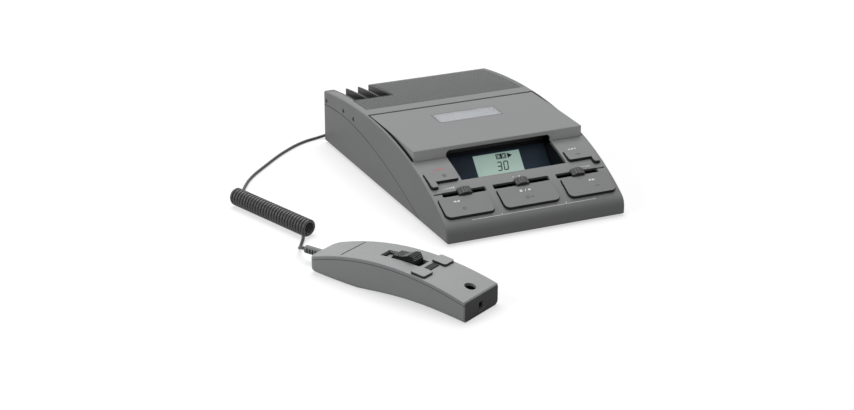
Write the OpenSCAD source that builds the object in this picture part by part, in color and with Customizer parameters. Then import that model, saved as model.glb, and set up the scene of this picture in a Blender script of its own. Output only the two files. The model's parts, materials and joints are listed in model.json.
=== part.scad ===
// Desk dictation machine with a hand microphone on a curly cord, in millimetres.
// Each module is one piece. +Z is up, +Y points to the back and the table is at z = 0.

/* [Case] */
// Width of the case
body_w = 140; // [138:1:148]
// Depth of the case from nose to back
body_d = 229; // [227:1:236]
// Height of the crown line above the underside
body_h = 47.7; // [47:0.1:50]
// Height of the top at the nose above the underside
nose_h = 10; // [9.5:0.1:11]
// Height of the rear edge above the underside
rear_h = 40.6; // [40:0.1:42]
// Distance of the crown line from the nose
peak_y = 143; // [142:0.5:144]
// Share of the fall to the nose that follows a parabola, the rest a fourth power
crown_share = 0.67; // [0.65:0.01:0.7]
// Wall of both case shells
wall = 2.2; // [2:0.1:2.5]
// Radius of the outer edges of the case
edge_r = 1.6; // [1:0.1:2]
// Radius of the two nose corners seen from above
corner_r = 2; // [1.8:0.1:3]
// Radius of the nose
nose_r = 4; // [3:0.5:5]
// Distance from the nose at which the parting line leaves the underside
part_start = 43; // [40:1:46]
// Distance from the nose at which the parting line is highest
part_y = 190; // [185:1:195]
// Height of the parting line there above the underside
part_h = 33; // [31:0.5:34]
// Gap between pieces that drop into each other
fit = 0.3; // [0.2:0.05:0.4]
// Thickness of the rubber feet
foot_h = 1.6; // [1.2:0.1:2.5]
// Radius of the rubber feet
foot_r = 6; // [4:0.5:7]
// Radius of the three latch holes in the left wall
latch_hole_r = 1.2; // [1:0.1:1.5]

/* [Lid] */
// Distance of the lid's front lip from the nose
lid_front = 63; // [62.5:0.1:64]
// Fall of the lid's top from the hinge to the lip
lid_drop = 1.5; // [1:0.1:2]
// Thickness of the lid's top plate
lid_t = 2.4; // [2.2:0.1:2.8]
// Radius of the round hinge edge of the lid
lid_barrel_r = 2.4; // [2.2:0.1:2.6]
// Radius of the steel hinge pins
hinge_pin_r = 1; // [0.8:0.1:1.2]
// Radial clearance of every turning pin in its bore
run_gap = 0.05; // [0.02:0.01:0.08]
// Width of the lid's window
window_w = 50.4; // [46:0.2:54]
// Depth of the lid's window
window_d = 17; // [15:0.5:18]
// Distance of the window's middle from the nose
window_y = 116.5; // [115:0.5:118]

/* [Display] */
// Width of the display recess
recess_w = 83; // [80:0.5:84]
// Distance of the recess's front rim from the nose
recess_front = 36.8; // [36.4:0.1:37.4]
// Slope of the display pane from the level
pane_tilt = 49; // [45:1:53]
// Length of the pane down its slope
pane_l = 20; // [19:0.5:20.5]
// Width of the liquid crystal glass
lcd_w = 37; // [30:0.5:40]
// Height of the liquid crystal glass along the slope
lcd_l = 16; // [14:0.5:16.5]

/* [Keys and sliders] */
// Width of the two outer lower keys
side_key_w = 37.4; // [36:0.2:38]
// Width of the middle lower key
stop_key_w = 43; // [41:0.5:44]
// Width of the two upper keys
upper_key_w = 22.6; // [21:0.2:23]
// Width of the outer leg of the upper keys
upper_leg_w = 5; // [4:0.5:6]
// Distance between the case side and the outer keys
key_margin = 3.4; // [3.2:0.1:4]
// Gap all round a key
key_gap = 0.6; // [0.45:0.05:0.65]
// Thickness of a key plate
key_t = 2.4; // [2:0.1:2.6]
// How far a key's lower edge stands out of the panel
key_proud = 2.1; // [1.7:0.1:2.2]
// How far a key's upper edge stands out of the panel
key_lift = 0.9; // [0.6:0.1:1]
// Radius of the key hinge pins
key_pin_r = 1; // [0.8:0.1:1.1]
// Distance of the slider row from the nose
slider_y = 26.3; // [26:0.1:26.6]
// Width of a slider slot along the slope
slot_w = 4.4; // [4:0.1:4.6]
// Length of the two outer slider slots
side_slot_l = 33.6; // [32:0.2:34]
// Length of the middle slider slot
mid_slot_l = 44; // [42:0.5:45]
// Length of a slider cap
cap_l = 10.2; // [9.8:0.2:11]
// Width of a slider cap along the slope
cap_w = 5.8; // [5.4:0.1:6.4]

/* [Cassette deck] */
// Length of the small cassette that the well takes
cassette_l = 55; // [54:0.5:56]
// Width of the cassette
cassette_w = 34; // [33:0.5:35]
// Thickness of the cassette
cassette_t = 8; // [7.5:0.1:8.4]
// Height of the deck's top above the table
deck_z = 33; // [32.5:0.1:33.5]
// Distance between the two reel spindles
reel_pitch = 26; // [25:0.2:27]
// Radius of a reel disc under the deck
reel_disc_r = 11; // [10.5:0.1:11.3]
// Radius of the rubber tyre that drives the right reel
tyre_r = 6; // [5.5:0.1:6.5]
// Radius of the drive pulley on the same shaft
pulley_r = 9; // [8:0.2:10]
// Radius of the motor pulley
motor_pulley_r = 3; // [2.6:0.1:3.4]
// Radius of the motor
motor_r = 11; // [10:0.5:12]
// Travel of the head carriage
head_travel = 3; // [2:0.5:3]

/* [Cassette rack] */
// Distance between the case side and the rack's inside
rack_margin = 8.6; // [8.4:0.1:9]
// Clear width of one rack slot
rack_slot = 8.7; // [8.5:0.1:9]
// Thickness of the fins between the slots
fin_t = 1.4; // [1.2:0.1:1.6]
// Distance of the rack's front wall from the nose
rack_front = 184.5; // [184:0.5:186]

/* [Speaker and sockets] */
// Distance of the speaker's rim from the grille's front and rear edges
speaker_margin = 9.25; // [8.5:0.25:12]
// Distance of the grille's front edge from the nose
grille_front = 156; // [155:0.5:157]
// Height of the rear sockets above the table
socket_z = 12; // [11.5:0.1:13]
// Radius of the earphone socket
jack_r = 1.8; // [1.75:0.05:1.9]
// Radius of the power inlet
inlet_r = 2.8; // [2.7:0.05:3.2]
// Radius of the two round multi-pin sockets
din_r = 4.5; // [4.2:0.1:4.8]

/* [Microphone] */
// Length of the microphone
mic_l = 129; // [127:1:132]
// Width of the microphone at its front
mic_w = 38; // [37.4:0.2:38.6]
// Width of the microphone at its rear end
mic_rear_w = 30.8; // [30:0.2:32]
// Height of the microphone's back
mic_h = 23.7; // [23.4:0.1:24.4]
// Height of its front face
mic_front_h = 14.7; // [14.2:0.1:15.2]
// Height of its rear end's top
mic_rear_h = 12; // [11.8:0.1:12.6]
// Wall of the microphone shells
mic_wall = 2; // [1.8:0.1:2.2]
// Distance of the microphone's parting line below its top
mic_lip = 2.6; // [2.4:0.1:3]
// Radius of the sound hole
sound_hole_r = 3.8; // [3:0.1:4.2]
// Length of the thumb slide
thumb_l = 19; // [17:0.5:20]
// Width of the thumb slide
thumb_w = 9.8; // [9:0.1:10.4]
// Travel of the thumb slide
thumb_travel = 10; // [8:0.5:10]
// Width of a microphone button pad
pad_w = 10.4; // [9.5:0.1:10.6]
// Length of a microphone button pad
pad_l = 11; // [10:0.2:12]
// Travel of the microphone buttons
pad_travel = 0.7; // [0.5:0.1:0.8]

/* [Cord] */
// Diameter of the cord
cord_d = 2.4; // [2.2:0.05:2.45]
// Outer diameter of the curls
curl_od = 13; // [12.5:0.1:13.2]
// Distance from curl to curl
curl_pitch = 3; // [2.95:0.01:3.2]
// Number of whole curls
curls = 27; // [20:1:30]

/* [Hidden] */
$fn = 48;
over = 1;

// Middle of the whole set on the table, seen from the middle of the nose
set_middle = [-50.27, 56.43];
case_grey = "dimgray";
key_grey = [0.45, 0.46, 0.47];
dark = [0.16, 0.17, 0.18];

half_w = body_w / 2;
inner_half = half_w - wall;
floor_top = foot_h + wall;

// Height of the case's top surface over the table at a distance from the nose
function fall(t) = crown_share * pow(t, 2) + (1 - crown_share) * pow(t, 4);
function top_z(y) = foot_h + (y < peak_y
    ? body_h - (body_h - nose_h) * fall((peak_y - y) / peak_y)
    : body_h - (body_h - rear_h) * pow((y - peak_y) / (body_d - peak_y), 2));
function slope_at(y) = atan(2 * (top_z(y + 0.25) - top_z(y - 0.25)));
function under_z(y, t) = top_z(y) - t / cos(slope_at(y));
// Depth of a round of radius r at a distance d from its edge
function round_off(d, r) = d >= r ? 0 : r * (1 - sqrt(1 - pow(1 - d / r, 2)));
function parting_z(y) = foot_h + part_h
    * (1 - pow(abs(part_y - y) / (part_y - part_start), 1.8));

// Lists of distances from the nose for curved outlines
skin_steps = 40;
function skin_y(k, f, e) = f + (body_d - f - e) * pow(k / skin_steps, 1.5);
function steps(a, b, n) = [for (k = [0 : n]) a + (b - a) * k / n];

// Side view of the case, drawn in by e, and by f at the nose
function side_outline(f, e) = concat(
    [[f, foot_h + e], [body_d - e, foot_h + e]],
    [for (k = [skin_steps : -1 : 0]) let (y = skin_y(k, f, e)) [y,
        top_z(y) - round_off(y - f, nose_r) - e]]);

// A solid through rings of points, each ring counter-clockwise seen from its far end
module loft(rings) {
    n = len(rings[0]);
    m = len(rings);
    points = [for (ring = rings) each ring];
    walls = [for (i = [0 : m - 2], j = [0 : n - 1]) let (k = (j + 1) % n)
        each [[i * n + j, (i + 1) * n + j, (i + 1) * n + k], [i * n + j, (i + 1) * n + k, i * n + k]]];
    near = [for (j = [1 : n - 2]) [0, j, j + 1]];
    far = [for (j = [1 : n - 2]) let (b = (m - 1) * n) [b, b + j + 1, b + j]];
    polyhedron(points, concat(walls, near, far));
}

// A plate of a side-view outline, centred on x = 0
module side_plate(outline, width) {
    translate([-width / 2, 0, 0]) rotate([90, 0, 90]) linear_extrude(width) polygon(outline);
}

// A flat rectangle with round corners, centred
module round_rect(w, d, r) {
    square([w - 2 * r, d], center = true);
    square([w, d - 2 * r], center = true);
    for (x = [-1, 1], y = [-1, 1]) translate([x * (w / 2 - r), y * (d / 2 - r)]) circle(r);
}

module rod_x(r, x0, x1) {
    translate([x0, 0, 0]) rotate([0, 90, 0]) cylinder(r = r, h = x1 - x0);
}

module rod_y(r, y0, y1) {
    translate([0, y0, 0]) rotate([-90, 0, 0]) cylinder(r = r, h = y1 - y0);
}

module block(x0, x1, y0, y1, z0, z1) {
    translate([x0, y0, z0]) cube([x1 - x0, y1 - y0, z1 - z0]);
}

module both_sides() {
    children();
    mirror([1, 0, 0]) children();
}

module placed() {
    translate([-set_middle.x, -set_middle.y, 0]) children();
}

// Case shells
edge_shares = [0, 0.06, 0.2, 0.4, 0.7, 1];

module case_solid() {
    insets = [for (k = edge_shares) corner_r * k];
    left = [for (d = insets) [for (p = side_outline(round_off(d, corner_r),
        round_off(d, edge_r))) [d - half_w, p.x, p.y]]];
    right = [for (j = [len(left) - 1 : -1 : 0]) [for (p = left[j]) [-p[0], p[1], p[2]]]];
    loft(concat(left, right));
}

module case_cavity() {
    ys = steps(wall, body_d - wall, 40);
    outline = concat([[wall, floor_top], [body_d - wall, floor_top]],
        [for (k = [len(ys) - 1 : -1 : 0]) [ys[k], under_z(max(ys[k], nose_r), wall)]]);
    side_plate(outline, 2 * inner_half);
}

module below_parting() {
    ys = steps(part_start, body_d + over, 36);
    side_plate(concat([[part_start, -over], [body_d + over, -over]],
        [for (k = [36 : -1 : 0]) [ys[k], parting_z(ys[k])]]), body_w + 2 * over);
}

boss_z = 10;
boss_r = 3.2;
screw_r = 1.3;
screw_play = 0.02;
screw_pass_r = 1.7;
screw_head_r = 2.7;
screw_head_h = 2.2;
screw_sink = 3;
screw_inset = [13.2, 9];
front_boss_y = 57;
rear_boss_y = 150.4;
function boss_places() = [for (s = [-1, 1]) each [[s * (half_w - screw_inset[0]), front_boss_y],
    [s * (half_w - screw_inset[1]), rear_boss_y]]];

rack_left = -half_w + rack_margin;
rack_wall = 1.2;
rack_inside = 3 * rack_slot + 2 * fin_t;
rack_right = rack_left + rack_inside;
rack_floor = 14;
rack_bottom = rack_floor - 2;
rack_back = body_d - 0.1;
fin_back = body_d - 3;

module rack_space(grow) {
    block(rack_left - rack_wall - grow, rack_right + rack_wall + grow, rack_front - rack_wall - grow,
        body_d + over, rack_bottom - grow, body_h + 10);
}

// Rear sockets, from left to right seen from the front
mic_socket_x = -12;
inlet_x = 14;
foot_socket_x = half_w - 15;
din_wall = 1.6;
socket_flange = 1.4;
jack_body_r = 3.6;
jack_l = 14;
inlet_body_r = 5;
inlet_l = 11;
din_l = 10;

foot_inset = [15, 16];
function foot_places() = [for (x = [-1, 1], y = [foot_inset.y, body_d - foot_inset.y])
    [x * (half_w - foot_inset.x), y]];

deck_half = inner_half - 3.8;
deck_front = 78;
deck_back = 139.4;
deck_post_r = 3;
deck_post_inset = 4.6;
function deck_posts() = [for (x = [-1, 1], y = [deck_front, deck_back])
    [x * (deck_half - deck_post_inset), y + (y == deck_front ? 1 : -1) * deck_post_inset]];

board_z = 8;
board_t = 1.6;
board_half = 50;
board_y = [84, 164];
board_post_r = 2.6;
board_post_inset = 4;
function board_posts() = [for (x = [-1, 1],
    y = [board_y[0] + board_post_inset, board_y[1] - board_post_inset])
    [x * (board_half - board_post_inset), y]];

speaker_x = 24;
grille_back = body_d - 4.5;
speaker_y = (grille_front + grille_back) / 2;
speaker_r = (grille_back - grille_front) / 2 - speaker_margin;
speaker_z = 38;
speaker_post_r = 2.6;
speaker_ear = 3.4;
speaker_post_x = speaker_x + (speaker_r + speaker_ear) * cos(45);
jack_clear = 1.88;
// The jack stays beside the speaker's rear post
jack_x = min(half_w - 34, speaker_post_x - speaker_post_r - jack_body_r - jack_clear);
function speaker_posts() = [for (x = [-1, 1], y = [-1, 1])
    [speaker_x + x * (speaker_r + speaker_ear) * cos(45),
        speaker_y + y * (speaker_r + speaker_ear) * cos(45)]];

module base_shell() {
    color(case_grey) difference() {
        union() {
            difference() {
                intersection() {
                    case_solid();
                    below_parting();
                }
                case_cavity();
            }
            block(-inner_half + fit, inner_half - fit, wall + fit, part_start + 4, foot_h, floor_top);
            for (p = boss_places()) translate([p.x, p.y, foot_h]) cylinder(r = boss_r, h = boss_z - foot_h);
            for (p = board_posts()) translate([p.x, p.y, foot_h])
                cylinder(r = board_post_r, h = board_z - foot_h);
            for (p = speaker_posts())
                translate([p.x, p.y, foot_h]) cylinder(r = speaker_post_r, h = speaker_z - foot_h);
        }
        for (p = boss_places()) translate([p.x, p.y, foot_h - over]) {
            cylinder(r = screw_pass_r, h = boss_z + over);
            cylinder(r = screw_head_r + fit, h = screw_sink + over);
        }
        rack_space(fit);
        for (x = [mic_socket_x, foot_socket_x])
            translate([x, 0, socket_z]) rod_y(din_r + din_wall + fit, body_d - 2 * wall, body_d + over);
        translate([inlet_x, 0, socket_z]) rod_y(inlet_body_r + fit, body_d - 2 * wall, body_d + over);
        translate([jack_x, 0, socket_z]) rod_y(jack_body_r + fit, body_d - 2 * wall, body_d + over);
    }
}

lid_gap = 0.6;
lid_half = inner_half - lid_gap;
lid_back = peak_y + 0.7;
hinge_y = lid_back - lid_barrel_r;
hinge_z = foot_h + body_h - lid_barrel_r;
well_gap = 0.4;

grille_half = inner_half - 3.6;
grille_t = 1.2;
grille_ledge = 2;
seat_gap = 0.1;

module grille_area(grow, depth, lift) {
    difference() {
        ys = steps(grille_front - grow, grille_back + grow, 16);
        side_plate(concat([for (y = ys) [y, under_z(y, depth)]],
            [for (k = [16 : -1 : 0]) [ys[k], top_z(ys[k]) + lift]]),
            2 * (grille_half + grow));
        block(-half_w, rack_right + rack_wall + 2 * fit - grow, rack_front - rack_wall - 2 * fit + grow,
            body_d + over, 0, body_h + 10);
    }
}

latch_holes = [[168.2, 36.9], [188.2, 37.1], [223.2, 34.2]];

module top_shell() {
    color(case_grey) difference() {
        union() {
            difference() {
                case_solid();
                below_parting();
                case_cavity();
                block(-inner_half, inner_half, wall, part_start + 5, -over, floor_top + fit);
            }
            for (p = boss_places()) translate([p.x, p.y, boss_z])
                cylinder(r = boss_r, h = under_z(p.y - boss_r, wall / 2) - boss_z);
        }
        for (p = boss_places()) translate([p.x, p.y, boss_z - over]) cylinder(r = screw_r, h = 14 + over);
        block(-inner_half, inner_half, lid_front - well_gap, lid_back + well_gap, deck_z - 6, body_h + 10);
        block(-recess_w / 2, recess_w / 2, recess_front, lid_front, floor_top + 10, body_h + 10);
        for (k = key_names) key_well(k);
        for (s = slider_list) slider_slot(s);
        both_sides() on_frame() block(side_slot_x + side_slot_l / 2 - 2, half_w - seam_margin,
            slider_q.x + slot_w / 2 - seam_inset - seam_w, slider_q.x + slot_w / 2 - seam_inset,
            slider_q.y - seam_deep, slider_q.y + 4);
        grille_area(fit, grille_t + seat_gap, over);
        grille_area(-grille_ledge, 3 * wall, over);
        rack_space(fit);
        for (h = latch_holes) translate([0, h[0], foot_h + h[1]])
            rod_x(latch_hole_r, -half_w - over, -inner_half + over);
        for (s = [-1, 1]) translate([0, hinge_y, hinge_z])
            rod_x(hinge_pin_r, s > 0 ? inner_half - over : -half_w + 0.7,
                s > 0 ? half_w - 0.7 : -inner_half + over);
    }
}

// A panel of round holes over the speaker
sound_pitch = 4.2;
sound_r = 1;
sound_rows = 5;

module speaker_grille() {
    color(case_grey) difference() {
        grille_area(0, grille_t, 0);
        for (i = [-sound_rows : sound_rows], j = [-sound_rows : sound_rows])
            if (norm([i, j]) * sound_pitch < speaker_r - sound_pitch)
                translate([speaker_x + i * sound_pitch, speaker_y + j * sound_pitch, speaker_z])
                    cylinder(r = sound_r, h = 20, $fn = 6);
    }
}

module cassette_rack() {
    ys = steps(rack_front - rack_wall, rack_back, 8);
    middle = (rack_left + rack_right) / 2;
    color(case_grey) difference() {
        translate([middle, 0, 0]) side_plate(concat([[rack_front - rack_wall, rack_bottom],
            [rack_back, rack_bottom]],
            [for (k = [8 : -1 : 0]) [ys[k], top_z(ys[k])]]), rack_inside + 2 * rack_wall);
        for (i = [0 : 2]) translate([rack_left + i * (rack_slot + fin_t), 0, 0])
            block(0, rack_slot, rack_front, body_d + over, rack_floor, body_h + 10);
        block(rack_left + rack_slot / 2, rack_right - rack_slot / 2, fin_back, body_d + over,
            rack_floor, body_h + 10);
    }
}

module lid_hinge_pins() {
    color("silver") both_sides() translate([0, hinge_y, hinge_z])
        rod_x(hinge_pin_r, lid_half - 6, half_w - 0.7);
}

// Lid
function lid_z(y) = foot_h + body_h - lid_drop * pow((lid_back - y) / (lid_back - lid_front), 1.6);
skirt_depth = 2.5;
lip_depth = 1;
lip_cut = 4.4;
lip_arch_h = 20;
lip_arch_r = 3;
lid_wall = 2;
window_t = 1.4;
window_ledge = 1.4;

module cassette_lid() {
    ys = steps(lid_front, hinge_y, 16);
    skirt = [for (y = ys) [y, min(under_z(y, skirt_depth), hinge_z - 1)]];
    window_tilt = atan((lid_z(window_y + 5) - lid_z(window_y - 5)) / 10);
    color(key_grey) difference() {
        union() {
            difference() {
                side_plate(concat([[lid_front, top_z(lid_front) - lip_depth],
                    [lid_front + lid_wall, top_z(lid_front) - lip_depth]],
                    [for (k = [1 : 15]) skirt[k]], [[hinge_y - lid_barrel_r, hinge_z - lid_barrel_r]],
                    [[hinge_y, hinge_z - lid_barrel_r], [hinge_y, hinge_z + lid_barrel_r]],
                    [for (k = [15 : -1 : 0]) [ys[k], lid_z(ys[k])]]), 2 * lid_half);
                side_plate(concat([[lid_front + lid_wall, 0], [hinge_y - 2 * lid_barrel_r, 0]],
                    [for (k = [14 : -1 : 1]) [ys[k], lid_z(ys[k]) - lid_t]],
                    [[lid_front + lid_wall, lid_z(lid_front) - lid_t]]), 2 * (lid_half - lid_wall));
            }
            translate([0, hinge_y, hinge_z]) rod_x(lid_barrel_r, -lid_half, lid_half);
        }
        both_sides() translate([0, hinge_y, hinge_z])
            rod_x(hinge_pin_r + run_gap, lid_half - 7, lid_half + over);
        translate([0, lid_front + lid_wall + over, top_z(lid_front) + lip_cut - lip_arch_h / 2])
            rotate([90, 0, 0])
            linear_extrude(lid_wall + 2 * over) round_rect(recess_w, lip_arch_h, lip_arch_r);
        translate([0, window_y, lid_z(window_y)]) rotate([window_tilt, 0, 0]) {
            translate([0, 0, -window_t]) linear_extrude(5)
                square([window_w + 2 * fit, window_d + 2 * fit], center = true);
            translate([0, 0, -5]) linear_extrude(9)
                square([window_w - 2 * window_ledge, window_d - 2 * window_ledge], center = true);
        }
    }
}

module lid_window() {
    window_tilt = atan((lid_z(window_y + 5) - lid_z(window_y - 5)) / 10);
    color([0.75, 0.79, 0.83, 0.6]) translate([0, window_y, lid_z(window_y)]) rotate([window_tilt, 0, 0])
        translate([0, 0, -window_t]) linear_extrude(window_t - 0.1)
            square([window_w, window_d], center = true);
}

// Display
pane_top = [72.5, foot_h + 33.5];
pane_t = 2;
pane_side = 1.5;
housing_t = 1.5;
ledge_h = 2;

// Puts children on the pane: x across, y up the slope from the pane's lower edge, z out of it
module on_pane() {
    translate([0, pane_top.x - pane_l * cos(pane_tilt), pane_top.y - pane_l * sin(pane_tilt)])
        rotate([pane_tilt, 0, 0]) children();
}

lcd_from_top = 2;
lcd_x = 1.8;

module lcd_place() {
    on_pane() translate([lcd_x, pane_l - lcd_from_top - lcd_l / 2, 0]) children();
}

module display_pane() {
    color([0.12, 0.15, 0.2]) difference() {
        on_pane() translate([-recess_w / 2 + fit, 0, -pane_t]) cube([recess_w - 2 * fit, pane_l, pane_t]);
        lcd_place() translate([0, 0, -pane_t - over]) linear_extrude(pane_t + 2 * over)
            square([lcd_w + 2 * fit, lcd_l + 2 * fit], center = true);
    }
}

module lcd_glass() {
    color([0.66, 0.75, 0.67]) lcd_place() translate([0, 0, -pane_t]) linear_extrude(pane_t - 0.3)
        square([lcd_w, lcd_l], center = true);
}

module display_housing() {
    foot_y = pane_top.x - pane_l * cos(pane_tilt);
    foot_z = pane_top.y - pane_l * sin(pane_tilt);
    back_y = pane_top.x + ledge_h;
    color([0.1, 0.1, 0.11]) {
        both_sides() translate([recess_w / 2 + housing_t / 2 + 0.1, 0, 0]) side_plate(concat(
            [[recess_front - 0.4, foot_z - housing_t], [back_y, foot_z - housing_t],
                [back_y, pane_top.y + ledge_h],
            [lid_front - 1, pane_top.y + ledge_h]],
            [for (k = [3 : -1 : 1]) let (y = recess_front + (lid_front - recess_front) * k / 4)
                [y, under_z(y, wall) - fit]],
            [[recess_front - 0.4, under_z(recess_front, wall) - fit]]), housing_t);
        side_plate([[recess_front - 0.4, foot_z - housing_t], [foot_y - fit, foot_z - housing_t],
            [foot_y - fit, foot_z], [recess_front + housing_t, foot_z],
            [recess_front + housing_t, under_z(recess_front, wall) - fit],
            [recess_front - 0.4, under_z(recess_front, wall) - fit]], recess_w + 0.2 + 2 * housing_t);
        side_plate([[pane_top.x + fit, pane_top.y + fit], [back_y, pane_top.y + fit],
            [back_y, pane_top.y + ledge_h], [pane_top.x + fit, pane_top.y + ledge_h]],
                recess_w + 0.2 + 2 * housing_t);
        both_sides() on_pane() block(recess_w / 2 - 3, recess_w / 2 + 0.2, 2, pane_l - 2, -pane_t - 2,
            -pane_t);
    }
}

// Keys: [name, x0, x1, upper edge, lower edge, leg x0, leg x1, leg lower edge]
outer_x = half_w - key_margin;
lower_top = 22.5;
lower_end = 7.4;
upper_top = 47.4;
upper_end = 37.4;
leg_end = 32.2;
key_names = ["record", "search", "rewind", "stop_play", "wind"];
function key_x(k) = k == "stop_play" ? [-stop_key_w / 2, stop_key_w / 2]
    : k == "record" ? [-outer_x, -outer_x + upper_key_w] : k == "search" ? [outer_x - upper_key_w, outer_x]
    : k == "rewind" ? [-outer_x, -outer_x + side_key_w] : [outer_x - side_key_w, outer_x];
function is_upper(k) = k == "record" || k == "search";
function key_y(k) = is_upper(k) ? [upper_end, upper_top] : [lower_end, lower_top];
function key_slope(k) = let (y = key_y(k)) atan((top_z(y[1]) - top_z(y[0])) / (y[1] - y[0]));
function key_len(k) = let (y = key_y(k)) norm([y[1] - y[0], top_z(y[1]) - top_z(y[0])]);
function leg_x(k) = k == "record" ? [-outer_x, -outer_x + upper_leg_w] : [outer_x - upper_leg_w, outer_x];
leg_len = (upper_end - leg_end) / cos(slope_at((upper_end + leg_end) / 2));

// Puts children at a key's upper edge: y runs up the slope, z out of the panel
module at_key(k) {
    y = key_y(k)[1];
    translate([0, y, top_z(y)]) rotate([key_slope(k), 0, 0]) children();
}

key_corner = 1.5;
key_low_corner = 4;

module key_outline(k, grow) {
    x = key_x(k);
    l = key_len(k);
    w = x[1] - x[0] + 2 * grow;
    low = is_upper(k) ? key_corner : key_low_corner;
    translate([(x[0] + x[1]) / 2, -l / 2]) round_rect(w, l + 2 * grow, low + grow);
    translate([(x[0] + x[1]) / 2, -l / 4]) round_rect(w, l / 2 + 2 * grow, key_corner + grow);
    if (is_upper(k)) {
        lx = leg_x(k);
        translate([(lx[0] + lx[1]) / 2, -(l + leg_len) / 2])
            round_rect(lx[1] - lx[0] + 2 * grow, l + leg_len + 2 * grow, key_corner + grow);
    }
}

module key_well(k) {
    at_key(k) translate([0, 0, -8]) linear_extrude(14) key_outline(k, key_gap);
}

// Hinge pin of a key, below its upper edge
pin_back = 3;
pin_deep = 4.4;
arm_w = 3;
arm_inset = 2.2;
arm_r = 2.1;
arm_neck = 1.7;
function pin_at(k) = let (y = key_y(k)[1], a = key_slope(k))
    [y - pin_back * cos(a) + pin_deep * sin(a), top_z(y) - pin_back * sin(a) - pin_deep * cos(a)];
function arm_xs(k) = let (x = key_x(k)) [x[0] + arm_inset, x[1] - arm_inset - arm_w];

module key_arm() {
    translate([0, -pin_back, -pin_deep]) rotate([90, 0, 90]) linear_extrude(arm_w) difference() {
        union() {
            circle(arm_r);
            translate([-arm_neck, 0]) square([2 * arm_neck, pin_deep - key_t + 0.5]);
        }
        circle(key_pin_r + run_gap);
    }
}

module key(k) {
    l = key_len(k);
    reach = l + (is_upper(k) ? leg_len : 0);
    middle = (key_x(k)[0] + key_x(k)[1]) / 2;
    color(key_grey) at_key(k) {
        intersection() {
            translate([0, 0, -8]) linear_extrude(14) key_outline(k, 0);
            side_plate([[-reach - 3, -key_t], [3, -key_t], [3, key_lift], [-l - 0.7, key_proud],
                [-reach - 3, key_proud]], 2 * body_w);
        }
        for (x = arm_xs(k)) translate([x, 0, 0]) key_arm();
        translate([middle, -l + 3.2, -key_t - post_l]) cylinder(r = 1.5, h = post_l + 0.5);
    }
}

post_l = 1.2;

module key_record() key("record");
module key_search() key("search");
module key_rewind() key("rewind");
module key_stop_play() key("stop_play");
module key_wind() key("wind");

// Sloping frame under the keys, with the key board on it
frame_y = [9, 48.6];
frame_deep = 9;
frame_t = 1.6;
key_board_t = 1.4;
frame_slope = atan((top_z(frame_y[1]) - top_z(frame_y[0])) / (frame_y[1] - frame_y[0]));
frame_len = (frame_y[1] - frame_y[0]) / cos(frame_slope);
frame_half = inner_half - 1.2;
arm_of_frame = half_w - recess_w / 2 - 5.6;
frame_throat = (recess_front - 14.6) / cos(frame_slope);

// Puts children on the frame's top: x across, y up the slope from its front edge
module on_frame() {
    translate([0, frame_y[0] + frame_deep * sin(frame_slope),
        top_z(frame_y[0]) - frame_deep * cos(frame_slope)])
        rotate([frame_slope, 0, 0]) children();
}

// A point of the side view in the frame's own measure: [along, above]
function in_frame(p) = let (o = [frame_y[0] + frame_deep * sin(frame_slope),
    top_z(frame_y[0]) - frame_deep * cos(frame_slope)],
    d = p - o) [d.x * cos(frame_slope) + d.y * sin(frame_slope),
        -d.x * sin(frame_slope) + d.y * cos(frame_slope)];

module frame_plan(inset) {
    difference() {
        translate([-frame_half + inset, inset]) square([2 * (frame_half - inset), frame_len - 2 * inset]);
        translate([-frame_half + arm_of_frame - inset, frame_throat - inset])
            square([2 * (frame_half - arm_of_frame + inset), frame_len]);
    }
}

lug_w = 2;
lug_r = 1.6;
lug_neck = 1.3;
frame_leg = [5, 5];
frame_legs = [[half_w - 22, 5.5], [half_w - 12, 34]];

module key_frame() {
    color(dark) {
        on_frame() translate([0, 0, -frame_t]) linear_extrude(frame_t) frame_plan(0);
        for (k = key_names, i = [0, 1]) {
            q = in_frame(pin_at(k));
            x = arm_xs(k)[i] + (i == 0 ? arm_w + fit : -lug_w - fit);
            on_frame() block(x, x + lug_w, q.x - lug_neck, q.x + lug_neck, -frame_t / 2, q.y);
            translate([0, pin_at(k).x, pin_at(k).y]) rod_x(lug_r, x, x + lug_w);
            translate([0, pin_at(k).x, pin_at(k).y])
                rod_x(key_pin_r, x - (i == 0 ? arm_w + fit - 0.4 : 0),
                    x + lug_w + (i == 0 ? 0 : arm_w + fit - 0.4));
        }
        for (s = [-1, 1], p = frame_legs) {
            y = frame_y[0] + frame_deep * sin(frame_slope) + p.y * cos(frame_slope);
            z = top_z(frame_y[0]) - frame_deep * cos(frame_slope) + p.y * sin(frame_slope);
            block(s * p.x - frame_leg.x / 2, s * p.x + frame_leg.x / 2, y, y + frame_leg.y, floor_top,
                z - frame_t * 0.6);
        }
    }
}

module key_board() {
    color([0.1, 0.35, 0.2]) difference() {
        on_frame() linear_extrude(key_board_t) frame_plan(1.2);
        for (k = key_names, i = [0, 1]) {
            q = in_frame(pin_at(k));
            x = arm_xs(k)[i];
            on_frame() block(x - lug_w - 2 * fit, x + arm_w + lug_w + 2 * fit, q.x - 2.6, q.x + 2.6,
                -over, key_board_t + over);
        }
    }
}

switch_w = 6;
switch_gap = 0.15;

// Each switch reaches up to its key's post, less the key's small free play
module key_switches() {
    color(dark) for (k = key_names) {
        l = key_len(k);
        a = key_slope(k);
        y = key_y(k)[1];
        d = [-l + 3.2, -key_t - post_l];
        q = in_frame([y + d.x * cos(a) - d.y * sin(a), top_z(y) + d.x * sin(a) + d.y * cos(a)]);
        x = (key_x(k)[0] + key_x(k)[1]) / 2;
        on_frame() {
            block(x - switch_w / 2, x + switch_w / 2, q.x - switch_w / 2, q.x + switch_w / 2,
                key_board_t, key_board_t + 2);
            translate([x, q.x, key_board_t])
                cylinder(r = 1.6, h = q.y - key_board_t - key_press - switch_gap);
        }
    }
}

key_press = 1.1;

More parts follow.
